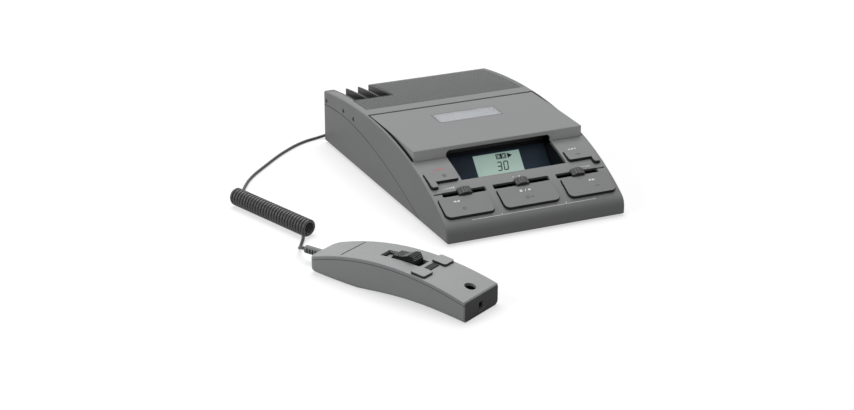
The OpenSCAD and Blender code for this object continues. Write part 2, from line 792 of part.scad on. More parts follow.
// Sliders: [name, middle x, slot length]
side_slot_x = half_w - 25.4;
slider_list = [["left", -side_slot_x, side_slot_l], ["middle", 0, mid_slot_l],
    ["right", side_slot_x, side_slot_l]];
slider_q = in_frame([slider_y, top_z(slider_y)]);
cap_lift = 0.4;
cap_h = 2.9;
cap_arch_r = 8;
function cap_drop(x) = cap_arch_r - sqrt(pow(cap_arch_r, 2) - pow(x, 2));
stem_l = 4.6;
track_h = 3.6;
track_w = 7;
track_over = 4;
seam_w = 1.2;
seam_inset = 0.3;
seam_deep = 0.9;
seam_margin = 2.6;

module slider_slot(s) {
    on_frame() translate([s[1], slider_q.x, slider_q.y - 5]) linear_extrude(10)
        round_rect(s[2], slot_w, 0.8);
}

module slider(s) {
    grooves = 4;
    color(dark) on_frame() translate([s[1], slider_q.x, 0]) {
        difference() {
            intersection() {
                translate([-cap_l / 2, -cap_w / 2, slider_q.y + cap_lift]) cube([cap_l, cap_w, cap_h]);
                translate([0, 0, slider_q.y + cap_lift + cap_h - cap_arch_r])
                    rod_y(cap_arch_r, -cap_w, cap_w);
            }
            for (i = [0 : grooves - 1]) let (x = (i - (grooves - 1) / 2) * 2)
                translate([x, 0, slider_q.y + cap_lift + cap_h - cap_drop(x)])
                rod_y(0.5, -cap_w, cap_w, $fn = 12);
        }
        block(-stem_l / 2, stem_l / 2, -slot_w / 2 + 0.5, slot_w / 2 - 0.5,
            key_board_t + track_h + 0.2, slider_q.y + cap_lift + 0.5);
        block(-stem_l / 2, stem_l / 2, -1, 1, key_board_t + 1.2, key_board_t + track_h + 0.5);
    }
}

module slider_left() slider(slider_list[0]);
module slider_middle() slider(slider_list[1]);
module slider_right() slider(slider_list[2]);

module slider_tracks() {
    color("silver") for (s = slider_list) on_frame()
        translate([s[1], slider_q.x, key_board_t]) difference() {
        block(-s[2] / 2 - track_over / 2, s[2] / 2 + track_over / 2, -track_w / 2, track_w / 2, 0, track_h);
        block(-s[2] / 2 + 0.6, s[2] / 2 - 0.6, -1.3, 1.3, 0.8, track_h + over);
    }
}

// Cassette deck
deck_t = 2;
well_play = 0.7;
well_wall = 1.6;
well_h = 6;
well_y = window_y - 0.5;
head_gap = 12;
shaft_r = 1.5;
disc_z = 24;
disc_t = 3.4;
bearing_r = 3.2;
bearing_h = 5;
drive_angle = -60;
drive_shaft_r = 1.2;
tyre_gap = 0.25;
reel_x = reel_pitch / 2;
drive_at = [reel_x + (reel_disc_r + tyre_r + tyre_gap) * cos(drive_angle),
    well_y + (reel_disc_r + tyre_r + tyre_gap) * sin(drive_angle)];
motor_at = [-40, 92];
motor_h = 15;
belt_z = 11;
belt_h = 3.4;
belt_t = 1;
belt_gap = 0.3;
carriage_half = 15;
carriage_t = 1.6;
carriage_y = [84.5, 96];

module cassette_deck() {
    half = cassette_l / 2 + well_play;
    color([0.2, 0.2, 0.21]) difference() {
        union() {
            block(-deck_half, deck_half, deck_front, deck_back, deck_z - deck_t, deck_z);
            for (p = deck_posts()) translate([p.x, p.y, floor_top])
                cylinder(r = deck_post_r, h = deck_z - floor_top);
            for (s = [-1, 1]) translate([s * reel_x, well_y, deck_z - bearing_h])
                cylinder(r = bearing_r, h = bearing_h);
            translate([drive_at.x, drive_at.y, deck_z - bearing_h]) cylinder(r = bearing_r, h = bearing_h);
            difference() {
                block(-half - well_wall, half + well_wall, well_y - cassette_w / 2 - well_play - well_wall,
                    well_y + cassette_w / 2 + well_play + well_wall, deck_z - 0.5, deck_z + well_h);
                block(-half, half, well_y - cassette_w / 2 - well_play, well_y + cassette_w / 2 + well_play,
                    deck_z, deck_z + well_h + over);
                block(-head_gap, head_gap, well_y - cassette_w, well_y, deck_z, deck_z + well_h + over);
            }
            both_sides() block(carriage_half + fit, carriage_half + fit + 1.6, carriage_y[0],
                carriage_y[1], deck_z - 0.5, deck_z + 3);
        }
        for (s = [-1, 1]) translate([s * reel_x, well_y, 0]) cylinder(r = shaft_r + run_gap, h = 60);
        translate([drive_at.x, drive_at.y, 0]) cylinder(r = drive_shaft_r + run_gap, h = 60);
    }
}

hub_r = 2.6;
hub_h = 6;

module reel(x) {
    color([0.85, 0.85, 0.82]) translate([x, well_y, 0]) {
        translate([0, 0, disc_z]) cylinder(r = reel_disc_r, h = disc_t);
        translate([0, 0, disc_z]) cylinder(r = shaft_r, h = deck_z + fit + 1 - disc_z);
        translate([0, 0, deck_z + fit]) cylinder(r = hub_r, h = hub_h);
        for (a = [0, 120, 240]) rotate(a)
            block(0, hub_r + 0.9, -0.5, 0.5, deck_z + fit, deck_z + fit + hub_h - 1);
    }
}

module reel_left() reel(-reel_x);
module reel_right() reel(reel_x);

groove_r = 0.8;
tyre_hub = 2;

module drive_wheel() {
    color([0.85, 0.85, 0.82]) translate([drive_at.x, drive_at.y, 0]) {
        difference() {
            translate([0, 0, belt_z]) cylinder(r = pulley_r, h = belt_h);
            translate([0, 0, belt_z + belt_h / 2]) rotate_extrude() translate([pulley_r + 0.2, 0])
                square([2 * groove_r, 2 * groove_r + 0.4], center = true);
        }
        translate([0, 0, belt_z]) cylinder(r = drive_shaft_r, h = deck_z - 0.5 - belt_z);
        translate([0, 0, disc_z]) cylinder(r = tyre_r - tyre_hub, h = disc_t);
    }
}

module drive_tyre() {
    color("black") translate([drive_at.x, drive_at.y, disc_z]) difference() {
        cylinder(r = tyre_r, h = disc_t);
        translate([0, 0, -over]) cylinder(r = tyre_r - tyre_hub, h = disc_t + 2 * over);
    }
}

motor_shaft_r = 1;

module motor() {
    color("silver") translate([motor_at.x, motor_at.y, 0]) {
        translate([0, 0, deck_z - deck_t - motor_h]) cylinder(r = motor_r, h = motor_h);
        translate([0, 0, deck_z - deck_t - motor_h - 1]) difference() {
            cylinder(r = 3.5, h = 2);
            translate([0, 0, -over]) cylinder(r = motor_shaft_r + run_gap, h = 1 + over);
        }
    }
}

module motor_pulley() {
    color("goldenrod") translate([motor_at.x, motor_at.y, 0]) {
        difference() {
            translate([0, 0, belt_z]) cylinder(r = motor_pulley_r, h = belt_h);
            translate([0, 0, belt_z + belt_h / 2]) rotate_extrude() translate([motor_pulley_r + 0.2, 0])
                square([2 * groove_r, 2 * groove_r + 0.4], center = true);
        }
        translate([0, 0, belt_z]) cylinder(r = motor_shaft_r, h = deck_z - deck_t - motor_h - 0.1 - belt_z);
    }
}

// Flat belt round both pulleys, just off their groove floors
module belt_loop(grow) {
    r0 = motor_pulley_r - groove_r + 0.2 + belt_gap + grow;
    r1 = pulley_r - groove_r + 0.2 + belt_gap + grow;
    gap = drive_at - motor_at;
    lean = acos((r0 - r1) / norm(gap));
    translate(motor_at) rotate(atan2(gap.y, gap.x)) polygon(concat(
        [for (a = steps(lean, 360 - lean, 12)) r0 * [cos(a), sin(a)]],
        [for (a = steps(-lean, lean, 24)) [norm(gap), 0] + r1 * [cos(a), sin(a)]]));
}

module drive_belt() {
    color("black") translate([0, 0, belt_z + (belt_h - 1.2) / 2]) linear_extrude(1.2) difference() {
        belt_loop(belt_t);
        belt_loop(0);
    }
}

head_l = 9;
head_h = 7;

module head_carriage() {
    color("silver") difference() {
        union() {
            block(-carriage_half, carriage_half, carriage_y[0], carriage_y[1] - head_travel,
                deck_z + 0.1, deck_z + 0.1 + carriage_t);
            block(-8, 8, carriage_y[0] + 1, carriage_y[0] + 2.4, deck_z + 0.5, deck_z + 6);
        }
        both_sides() block(10.4, 13, carriage_y[0] + 2, carriage_y[1] - head_travel - 2, deck_z - over,
            deck_z + 5);
    }
}

module tape_head() {
    color([0.6, 0.6, 0.58]) block(-head_l / 2, head_l / 2, carriage_y[0] + 2.4,
        carriage_y[1] - head_travel + 0.4,
        deck_z + 0.1 + carriage_t, deck_z + head_h);
}

// Boards
module main_board() {
    color([0.1, 0.35, 0.2]) block(-board_half, board_half, board_y[0], board_y[1], board_z,
        board_z + board_t);
}

// Chips: [middle x, width, depth]
chips = [[-12, 16, 14], [17, 18, 8]];
chip_h = 2.4;
chip_back = 12;
can_xs = [-40, -31, 34, 43];
can_r = 3;
can_h = 9;

module board_parts() {
    top = board_z + board_t;
    color(dark) {
        for (c = chips) translate([c[0], board_y[1] - chip_back, top + chip_h / 2])
            cube([c[1], c[2], chip_h], center = true);
        for (x = can_xs) translate([x, board_y[1] - chip_back, top]) cylinder(r = can_r, h = can_h);
    }
}

// Speaker
cone_deep = 7;
magnet_r = 0.48 * speaker_r;
magnet_h = 7;
rim_t = 1.6;

module speaker_basket() {
    r = speaker_r;
    color(dark) {
        translate([speaker_x, speaker_y,
            speaker_z]) rotate_extrude() polygon([[0, -cone_deep - magnet_h - 2],
            [magnet_r, -cone_deep - magnet_h - 2], [magnet_r, -cone_deep - 2], [r - 1, 0], [r, 0],
                [r, rim_t], [r - 3, rim_t],
            [r - 3, 0.4], [magnet_r - 1, -cone_deep], [0, -cone_deep]]);
        for (p = speaker_posts()) difference() {
            translate([p.x, p.y, speaker_z]) cylinder(r = speaker_ear + 1, h = rim_t);
            translate([speaker_x, speaker_y, speaker_z - over]) cylinder(r = r - 0.5, h = 5);
        }
    }
}

module speaker_cone() {
    r = speaker_r - 3.1;
    color([0.25, 0.25, 0.24]) translate([speaker_x, speaker_y,
        speaker_z]) rotate_extrude() polygon([[0, -cone_deep + 0.1],
        [magnet_r - 1, -cone_deep + 0.1], [r - 0.6, 0.6], [r, 1.2], [r - 1.5, 1.2],
            [magnet_r - 2, -cone_deep + 1.6], [0, -cone_deep + 3]]);
}

// Sockets in the rear wall
module socket_body(x, r, bore, depth, length) {
    translate([x, 0, socket_z]) difference() {
        union() {
            rod_y(r, body_d - length - 2, body_d);
            rod_y(r + 1.6, body_d - wall - socket_flange, body_d - wall);
        }
        rod_y(bore, body_d - depth, body_d + over);
    }
}

module mic_socket() {
    color(dark) socket_body(mic_socket_x, din_r + din_wall, din_r, din_l, din_l);
}

module foot_control_socket() {
    color(dark) {
        socket_body(foot_socket_x, din_r + din_wall, din_r, din_l, din_l);
        for (a = [0 : 60 : 300]) translate([foot_socket_x + 2.4 * cos(a), 0, socket_z + 2.4 * sin(a)])
            rod_y(0.4, body_d - din_l - 0.5, body_d - 3, $fn = 16);
    }
}

module power_inlet() {
    color(dark) socket_body(inlet_x, inlet_body_r, inlet_r, inlet_l - 2, inlet_l);
    color("silver") translate([inlet_x, 0, socket_z]) rod_y(1, body_d - inlet_l - 0.5, body_d - 1.5);
}

module earphone_jack() {
    color(dark) socket_body(jack_x, jack_body_r, jack_r, jack_l, jack_l);
}

module rubber_feet() {
    color("black") for (p = foot_places()) translate([p.x, p.y, 0]) cylinder(r = foot_r, h = foot_h);
}

screw_l = 11;

module case_screws() {
    color("silver") for (p = boss_places()) translate([p.x, p.y, foot_h + screw_sink - screw_head_h]) {
        cylinder(r = screw_head_r, h = screw_head_h);
        cylinder(r = screw_r - screw_play, h = screw_head_h + screw_l);
    }
}

// Microphone, in its own measure: y runs from its front face to its cord end
mic_at = [-95.2, -107.1];
mic_turn = 29.6;
mic_half = mic_w / 2;
mic_peak = 0.48 * mic_l;
mic_rest = 0.68 * mic_l;
mic_arch = 3.1;
mic_tail_lift = 1.8;
mic_round = 5;
mic_foot_r = 3;
mic_edge_r = 1.2;

module at_mic() {
    translate([mic_at.x, mic_at.y, 0]) rotate([0, 0, mic_turn]) children();
}

function mic_top(y) = y < mic_peak
    ? mic_h - (mic_h - mic_front_h) * pow((mic_peak - y) / mic_peak, 2)
    : mic_h - (mic_h - mic_rear_h) * pow((y - mic_peak) / (mic_l - mic_peak), 2);
function mic_low(y) = y < mic_rest ? mic_arch * sin(180 * y / mic_rest)
    : mic_tail_lift * pow((y - mic_rest) / (mic_l - mic_rest), 2);
function mic_side(y) = mic_half + (mic_rear_w / 2 - mic_half) * y / mic_l - round_off(mic_l - y, mic_round);
function mic_slope(y) = atan(2 * (mic_top(y + 0.25) - mic_top(y - 0.25)));

// Cross-section of the microphone at y, drawn in by e, clockwise seen from the front
function corner(c, r, a0, a1, n, y) = [for (i = [0 : n]) let (a = a0 + (a1 - a0) * i / n)
    [c.x + r * cos(a), y, c.y + r * sin(a)]];
function mic_ring(y, e) = let (w = mic_side(y) - e, t = mic_top(y) - e, b = mic_low(y) + e,
    r = min(mic_foot_r, w * 0.6, (t - b) * 0.45), q = min(mic_edge_r, w * 0.3)) concat(
    corner([-w + q, t - q], q, 180, 90, 2, y), corner([w - q, t - q], q, 90, 0, 2, y),
    corner([w - r, b + r], r, 0, -90, 4, y), corner([-w + r, b + r], r, -90, -180, 4, y));

mic_stations = concat([[0, 0.7], [0.7, 0]], [for (k = [1 : 14]) [k * (mic_l - mic_round) / 14, 0]],
    [for (t = [0.3, 0.55, 0.75, 0.9, 0.98]) [mic_l - mic_round * (1 - t), 0]], [[mic_l, 0.3]]);

module mic_solid() {
    loft([for (s = mic_stations) mic_ring(s[0], s[1])]);
}

mic_bay = mic_l - 26;
mic_bay_end = mic_l - 14;
mic_bay_half = 0.3 * mic_rear_w;

// Hollow of the microphone from y0 to y1, with a half-width at each end
module mic_hollow(y0, y1, half0, half1) {
    ys = steps(y0 - over, y1 + over, 12);
    intersection() {
        side_plate(concat([for (y = ys) [y, mic_low(y) + mic_wall + 0.8]],
            [for (k = [12 : -1 : 0]) [ys[k], mic_top(ys[k]) - mic_wall]]), mic_w);
        linear_extrude(2 * mic_h) polygon([[-half0, y0], [half0, y0], [half1, y1], [-half1, y1]]);
    }
}

module mic_cavity() {
    mic_hollow(mic_wall, mic_bay, mic_side(mic_wall) - mic_wall, mic_side(mic_bay) - mic_wall);
    mic_hollow(mic_bay - over, mic_bay_end, mic_bay_half, mic_bay_half);
}

module above_mic_parting() {
    ys = steps(-over, mic_l + over, 24);
    side_plate(concat([for (y = ys) [y, mic_top(min(max(y, 0), mic_l)) - mic_lip]],
        [[mic_l + over, mic_h + 10], [-over, mic_h + 10]]), mic_w + 4);
}

// Puts children on the microphone's top at y, z out of it
module on_mic(y) {
    translate([0, y, mic_top(y)]) rotate([mic_slope(y), 0, 0]) children();
}

pad_y = 38.5;
pad_x = 11.6;
bar_y = 39.4;
bar_size = [10.6, 4.8];
thumb_slot_y = 45;
thumb_rest = 3;
thumb_y0 = thumb_slot_y + 1.4 + thumb_rest;
thumb_slot = [thumb_w + 0.7, thumb_l + thumb_travel + 2.8];
sound_y = 8.9;
mic_groove_y = mic_l - 26;
mic_groove_w = 26;
mic_groove_l = 1.7;
front_hole = [6, 5.7];
front_hole_z = 6.3;
relief_z = 8.6;
relief_r = 2.8;
relief_l = 14.5;
relief_in = mic_l - mic_bay_end + 0.2;

module mic_shell_cuts() {
    translate([0, 0, relief_z]) rod_y(relief_r + 0.1, mic_bay_end - over, mic_l + over);
    translate([0, mic_wall + over, front_hole_z]) rotate([90, 0, 0]) linear_extrude(mic_wall + 2 * over)
        round_rect(front_hole.x, front_hole.y, 1);
}

module mic_top_shell() {
    color([0.62, 0.63, 0.64]) at_mic() difference() {
        intersection() {
            mic_solid();
            above_mic_parting();
        }
        mic_cavity();
        mic_shell_cuts();
        translate([0, sound_y, 0]) cylinder(r = sound_hole_r, h = 40);
        block(-thumb_slot.x / 2, thumb_slot.x / 2, thumb_slot_y, thumb_slot_y + thumb_slot.y, 0, 40);
        for (s = [-1, 1]) on_mic(pad_y) translate([s * pad_x, 0, -6]) linear_extrude(12)
            round_rect(pad_w + 2 * fit, pad_l + 2 * fit, 2);
        on_mic(bar_y) translate([0, 0, -6]) linear_extrude(12)
            round_rect(bar_size.x + 2 * fit, bar_size.y + 2 * fit, 1.2);
        on_mic(mic_groove_y) cube([mic_groove_w, mic_groove_l, 1.2], center = true);
    }
}

mic_board_z = 9;
mic_board_t = 1.2;
mic_board_half = 13.4;
mic_board_y = [26, mic_l - 37];
mic_post_r = 2.4;
mic_posts = [[11, 30], [11, mic_l - 45]];
capsule_r = 4.8;
capsule_z = 6;
capsule_h = 5;
capsule_rim = 0.8;
mic_screw_r = 1;
mic_screw_l = 4;
mic_screw_head = [1.9, 1.2];

module mic_bottom_shell() {
    color([0.42, 0.43, 0.44]) at_mic() difference() {
        union() {
            difference() {
                mic_solid();
                above_mic_parting();
                mic_cavity();
            }
            for (p = mic_posts) both_sides() translate([p.x, p.y, mic_low(p.y) + 1.5])
                cylinder(r = mic_post_r, h = mic_board_z - mic_low(p.y) - 1.5);
            translate([0, sound_y, mic_low(sound_y) + 1])
                cylinder(r = capsule_r, h = capsule_z - mic_low(sound_y) - 1);
        }
        mic_shell_cuts();
        for (p = mic_posts) both_sides() translate([p.x, p.y, mic_board_z - 4])
            cylinder(r = mic_screw_r, h = 10);
    }
}

plate_z = mic_h - 4.6;
plate_t = 1.2;

// Height of the thumb slide between its ribs, at a distance from its front end
function thumb_line(t) = mic_h + 1.6 + (thumb_l / 2 - t) * (t < thumb_l / 2 ? 0.36 : 0.06);

module mic_thumb_slide() {
    ribs = 9;
    rib_h = 0.8;
    top = mic_h + 4.4;
    first = 4;
    pitch = (thumb_l - first - 1.6) / ribs;
    slope = [for (i = [ribs - 1 : -1 : 0]) let (t = first + i * pitch)
        each [[t + pitch * 0.9, thumb_line(t)], [t + pitch * 0.7, thumb_line(t) + rib_h],
            [t + pitch * 0.35, thumb_line(t) + rib_h], [t + pitch * 0.15, thumb_line(t)]]];
    color([0.08, 0.08, 0.08]) at_mic() translate([-thumb_w / 2, thumb_y0, 0]) rotate([90, 0, 90])
        linear_extrude(thumb_w) polygon(concat(
            [[0, plate_z + plate_t], [thumb_l, plate_z + plate_t], [thumb_l, mic_h - 0.4]], slope,
            [[first, top], [2, top], [0, mic_h + 1]]));
}

module mic_slide_plate() {
    color([0.72, 0.72, 0.72]) at_mic() {
        block(-thumb_w / 2, thumb_w / 2, thumb_y0, thumb_slot_y + thumb_slot.y - 0.6, plate_z,
            plate_z + plate_t);
        block(-1.5, 1.5, thumb_y0 + thumb_l / 2 - 2, thumb_y0 + thumb_l / 2 + 2, switch_top + 0.3, plate_z);
    }
}

pad_proud = 1.6;
pad_t = 3.1;
bar_proud = 0.6;
bar_t = 2.6;

module mic_pad(s) {
    color([0.66, 0.67, 0.68]) at_mic() on_mic(pad_y) translate([s * pad_x, 0, 0]) {
        translate([0, 0, pad_proud - pad_t]) linear_extrude(pad_t) round_rect(pad_w, pad_l, 1.7);
        translate([0, 0, pad_proud - pad_t - 2]) cylinder(r = 1.6, h = 2.5);
    }
}

module mic_button_left() mic_pad(-1);
module mic_button_right() mic_pad(1);

module mic_button_bar() {
    color([0.1, 0.1, 0.1]) at_mic() on_mic(bar_y) {
        translate([0, 0, bar_proud - bar_t]) linear_extrude(bar_t) round_rect(bar_size.x, bar_size.y, 0.9);
        translate([0, 0, bar_proud - bar_t - 2.5]) cylinder(r = 1.4, h = 3);
    }
}

switch_top = mic_h - 7.3;

module mic_board() {
    color([0.1, 0.35, 0.2]) at_mic() difference() {
        block(-mic_board_half, mic_board_half, mic_board_y[0], mic_board_y[1], mic_board_z,
            mic_board_z + mic_board_t);
        for (p = mic_posts) both_sides() translate([p.x, p.y, 0])
            cylinder(r = mic_screw_r + 0.2, h = mic_h);
    }
}

// Foot of a button's stem in the microphone's own measure
function stem_foot(y, deep) = [y + deep * sin(mic_slope(y)), mic_top(y) - deep * cos(mic_slope(y))];

module mic_switches() {
    top = mic_board_z + mic_board_t;
    pad = stem_foot(pad_y, pad_t - pad_proud + 2);
    bar = stem_foot(bar_y, bar_t - bar_proud + 2.5);
    color(dark) at_mic() {
        for (s = [-1, 1]) translate([s * pad_x, pad[0], top])
            cylinder(r = 2, h = pad[1] - top - pad_travel - 0.5);
        translate([0, bar[0], top]) cylinder(r = 1.8, h = bar[1] - top - pad_travel - 0.5);
        difference() {
            block(-5, 5, thumb_y0 + 2, thumb_y0 + thumb_l + thumb_travel, top, switch_top);
            block(-2, 2, thumb_y0 + 4, thumb_y0 + thumb_l + thumb_travel - 2, top + 2, switch_top + over);
        }
    }
}

module mic_capsule() {
    color([0.3, 0.3, 0.3]) at_mic() translate([0, sound_y, capsule_z]) difference() {
        cylinder(r = capsule_r, h = capsule_h);
        translate([0, 0, capsule_h - capsule_rim]) cylinder(r = capsule_r - 1, h = 2);
    }
}

module mic_screws() {
    color("silver") at_mic() for (p = mic_posts) both_sides()
        translate([p.x, p.y, mic_board_z + mic_board_t]) {
        cylinder(r = mic_screw_head.x, h = mic_screw_head.y);
        translate([0, 0, -mic_screw_l]) cylinder(r = mic_screw_r - screw_play, h = mic_screw_l + 0.5);
    }
}

module strain_relief() {
    slots = 5;
    color("black") at_mic() translate([0, 0, relief_z]) difference() {
        union() {
            rod_y(relief_r, mic_l - relief_in, mic_l + relief_l);
            rod_y(relief_r + 0.9, mic_l - relief_in - 2.4, mic_l - relief_in);
        }
        for (i = [0 : slots - 1], s = [-1, 1]) let (y = mic_l + 1.6 + i * 2.4)
            block(s > 0 ? 1.4 : -5, s > 0 ? 5 : -1.4, y, y + 1.2, -1.6, 1.6);
    }
}

// Cord. Points are seen from the middle of the nose.
cord_r = cord_d / 2;
curl_r = (curl_od - cord_d) / 2;
curl_start = [-150, 54.6, curl_od / 2];
curl_turn = 18.5;
curl_dir = [-sin(curl_turn), cos(curl_turn), 0];
curl_side = [cos(curl_turn), sin(curl_turn), 0];
rings_per_curl = 8;
relief_end = [mic_at.x - (mic_l + relief_l) * sin(mic_turn),
    mic_at.y + (mic_l + relief_l) * cos(mic_turn), relief_z];
relief_dir = [-sin(mic_turn), cos(mic_turn), 0];

function curl_point(t) = let (a = 180 - 360 * t)
    curl_start + curl_dir * curl_pitch * t + curl_r * (curl_side * cos(a) + [0, 0, sin(a)]);
curl_last = curls + 0.5;
curl_first_point = curl_point(0);
curl_last_point = curl_point(curl_last);

lead_points = [relief_end, relief_end + relief_dir * 2.4, [-167.9, 24, 7.3], [-167, 28.5, 5.2],
    [-165.2, 33, 3.1], [-163, 37.5, 1.75], [-160.7, 41.9, cord_r + 0.1], [-158.4, 46.2, cord_r + 0.1],
    [-156.2, 50, cord_r + 0.5],
    curl_first_point - [0, 0, 3.4], curl_first_point - [0, 0, 2.4]];
curl_points = concat([curl_first_point - [0, 0, 2.4]],
    [for (i = [0 : curl_last * rings_per_curl]) curl_point(i / rings_per_curl)],
        [curl_last_point - [0, 0, 2.4]]);
plug_exit = [-36, body_d + 8, socket_z];
tail_points = [curl_last_point - [0, 0, 2.4], curl_last_point - [0, 0, 3.4], [-170, 139, cord_r + 0.5],
    [-168, 144.5, cord_r + 0.1], [-164.5, 152, cord_r + 0.1], [-160, 160.5, cord_r + 0.1],
        [-154, 170, cord_r + 0.1],
    [-147, 179, cord_r + 0.1], [-139, 187.5, cord_r + 0.1], [-130.5, 196, cord_r + 0.1],
    [-122, 204.5, cord_r + 0.1], [-113, 213, cord_r + 0.1], [-104, 220.5, cord_r + 0.1],
        [-94.5, 227.5, cord_r + 0.1],
    [-84.5, 233, cord_r + 0.1], [-74, 236.4, cord_r + 0.2], [-64, 237, cord_r + 1.6], [-55, 237, 5.5],
    [-47.5, 237, 9.6], [-42, 237, 11.6], plug_exit - [2.4, 0, 0], plug_exit];

function unit(v) = v / norm(v);
function heading(p, i) = i == 0 ? unit(p[1] - p[0]) : i == len(p) - 1 ? unit(p[i] - p[i - 1])
    : unit(unit(p[i + 1] - p[i]) + unit(p[i] - p[i - 1]));
// Side directions carried from ring to ring with no twist
function carried(p) = [for (i = 0, u = unit(cross(heading(p, 0), [0.31, 0.2, 0.93])); i < len(p); i = i + 1,
    u = i < len(p) ? let (t = heading(p, i)) unit(u - t * (u * t)) : u) u];

module tube(p, r, sides) {
    us = carried(p);
    loft([for (i = [0 : len(p) - 1]) let (t = heading(p, i), u = us[i], v = cross(t, u))
        [for (j = [0 : sides - 1]) p[i] + r * (u * cos(360 * j / sides) + v * sin(360 * j / sides))]]);
}

// Least gap between one curl and the next, on the points of two neighbouring curls
curl_gap = min([for (i = [0 : rings_per_curl], j = [rings_per_curl - 2 : 2 * rings_per_curl])
    if (j - i >= rings_per_curl - 2)
        norm(curl_point(i / rings_per_curl) - curl_point(j / rings_per_curl))]) - cord_d;
echo(least_gap_between_curls = curl_gap);

module cord_lead() color("black") tube(lead_points, cord_r, 8);
module curly_cord() color("black") tube(curl_points, cord_r, 6);
module cord_tail() color("black") tube(tail_points, cord_r, 8);

plug_r = 5.6;
plug_gap = 0.2;
plug_pin_r = din_r - 0.1;

module mic_plug() {
    color("black") translate([mic_socket_x, 0, socket_z]) {
        rod_y(plug_r, body_d + plug_gap, body_d + 14);
        rod_y(plug_pin_r, body_d - din_l + 2, body_d + plug_gap);
    }
    color("black") translate([0, plug_exit.y, socket_z]) rotate([0, -90, 0])
        translate([0, 0, -mic_socket_x])
        cylinder(r1 = 4, r2 = 2, h = mic_socket_x - plug_exit.x);
}

placed() base_shell();
placed() top_shell();
placed() speaker_grille();
placed() cassette_rack();
placed() cassette_lid();
placed() lid_window();
placed() lid_hinge_pins();
placed() display_housing();
placed() display_pane();
placed() lcd_glass();
placed() key_record();
placed() key_search();
placed() key_rewind();
placed() key_stop_play();
placed() key_wind();
placed() key_frame();
placed() key_board();
placed() key_switches();
placed() slider_left();
placed() slider_middle();
placed() slider_right();
placed() slider_tracks();
placed() cassette_deck();
placed() reel_left();
placed() reel_right();
placed() drive_wheel();
placed() drive_tyre();
placed() motor();
placed() motor_pulley();
placed() drive_belt();
placed() head_carriage();
placed() tape_head();
placed() main_board();
placed() board_parts();
placed() speaker_basket();
placed() speaker_cone();
placed() mic_socket();
placed() power_inlet();
placed() earphone_jack();
placed() foot_control_socket();
placed() rubber_feet();
placed() case_screws();
placed() mic_top_shell();
placed() mic_bottom_shell();
placed() mic_thumb_slide();
placed() mic_slide_plate();
placed() mic_button_left();
placed() mic_button_right();
placed() mic_button_bar();
placed() mic_board();
placed() mic_switches();
placed() mic_capsule();
placed() mic_screws();
placed() strain_relief();
placed() cord_lead();
placed() curly_cord();
placed() cord_tail();
placed() mic_plug();
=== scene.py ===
# %% [markdown]
# # A desk dictation machine in Blender
# The shapes come from a imported CAD model, already in metres and in place.
# This lesson gives that model its finishes, soft edges, printed marks, cord and light.
# Every new piece but the cord is tied to the body it moves with, so the model still works when it is
# posed.

# %% Load the imported model
import json
import math

import bmesh
import bpy
from mathutils import Matrix, Vector
from mathutils.bvhtree import BVHTree

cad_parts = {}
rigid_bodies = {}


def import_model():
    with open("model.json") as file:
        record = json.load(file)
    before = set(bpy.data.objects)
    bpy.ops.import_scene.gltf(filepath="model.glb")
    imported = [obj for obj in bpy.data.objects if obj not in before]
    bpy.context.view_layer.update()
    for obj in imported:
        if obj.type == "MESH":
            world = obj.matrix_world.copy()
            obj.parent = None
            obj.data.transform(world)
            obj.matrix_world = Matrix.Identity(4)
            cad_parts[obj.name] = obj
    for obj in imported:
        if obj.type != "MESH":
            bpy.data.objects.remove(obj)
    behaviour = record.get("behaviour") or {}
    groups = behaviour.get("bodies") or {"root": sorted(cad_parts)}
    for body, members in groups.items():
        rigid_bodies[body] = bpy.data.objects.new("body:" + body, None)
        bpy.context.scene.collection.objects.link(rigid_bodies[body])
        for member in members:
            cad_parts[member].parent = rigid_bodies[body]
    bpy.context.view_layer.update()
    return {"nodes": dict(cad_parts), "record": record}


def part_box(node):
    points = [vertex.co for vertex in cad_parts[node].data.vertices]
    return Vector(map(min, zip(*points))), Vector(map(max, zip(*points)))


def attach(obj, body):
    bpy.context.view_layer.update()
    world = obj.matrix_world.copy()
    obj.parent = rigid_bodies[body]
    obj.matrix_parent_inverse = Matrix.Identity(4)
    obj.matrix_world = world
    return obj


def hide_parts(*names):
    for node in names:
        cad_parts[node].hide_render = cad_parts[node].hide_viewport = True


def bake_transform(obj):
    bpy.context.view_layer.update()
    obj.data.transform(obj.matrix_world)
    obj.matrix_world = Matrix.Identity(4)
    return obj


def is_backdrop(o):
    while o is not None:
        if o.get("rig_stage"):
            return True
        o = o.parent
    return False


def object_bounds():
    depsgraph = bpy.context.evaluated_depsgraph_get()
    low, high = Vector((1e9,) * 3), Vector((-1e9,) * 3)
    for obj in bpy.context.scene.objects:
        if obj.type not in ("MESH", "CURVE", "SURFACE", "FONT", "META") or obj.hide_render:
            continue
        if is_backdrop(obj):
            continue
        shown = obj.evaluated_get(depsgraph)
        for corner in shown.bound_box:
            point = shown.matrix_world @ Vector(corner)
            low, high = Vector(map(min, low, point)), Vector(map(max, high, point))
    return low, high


bpy.ops.object.select_all(action="SELECT")
bpy.ops.object.delete()
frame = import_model()
nodes = frame["nodes"]
bpy.context.scene.view_settings.view_transform = "Standard"

# %% [markdown]
# ## Where things are
# The drawing of the machine is measured in millimetres from the middle of its nose.
# One small function turns such a place into the model's metres.
# An operator acts on all that is selected, so a second one leaves a single object selected.

# %% Places on the machine
MM = 0.001
NOSE_X = 50.27
NOSE_Y = -56.43


def place(x, y, z):
    """A point in metres from millimetres seen from the middle of the nose."""
    return Vector(((x + NOSE_X) * MM, (y + NOSE_Y) * MM, z * MM))


def only(obj):
    """Leaves one object selected and active."""
    if bpy.context.object and bpy.context.object.mode != "OBJECT":
        bpy.ops.object.mode_set(mode="OBJECT")
    bpy.ops.object.select_all(action="DESELECT")
    obj.select_set(True)
    bpy.context.view_layer.objects.active = obj
    return obj


print("middle of the nose", [round(v, 4) for v in place(0, 0, 0)])

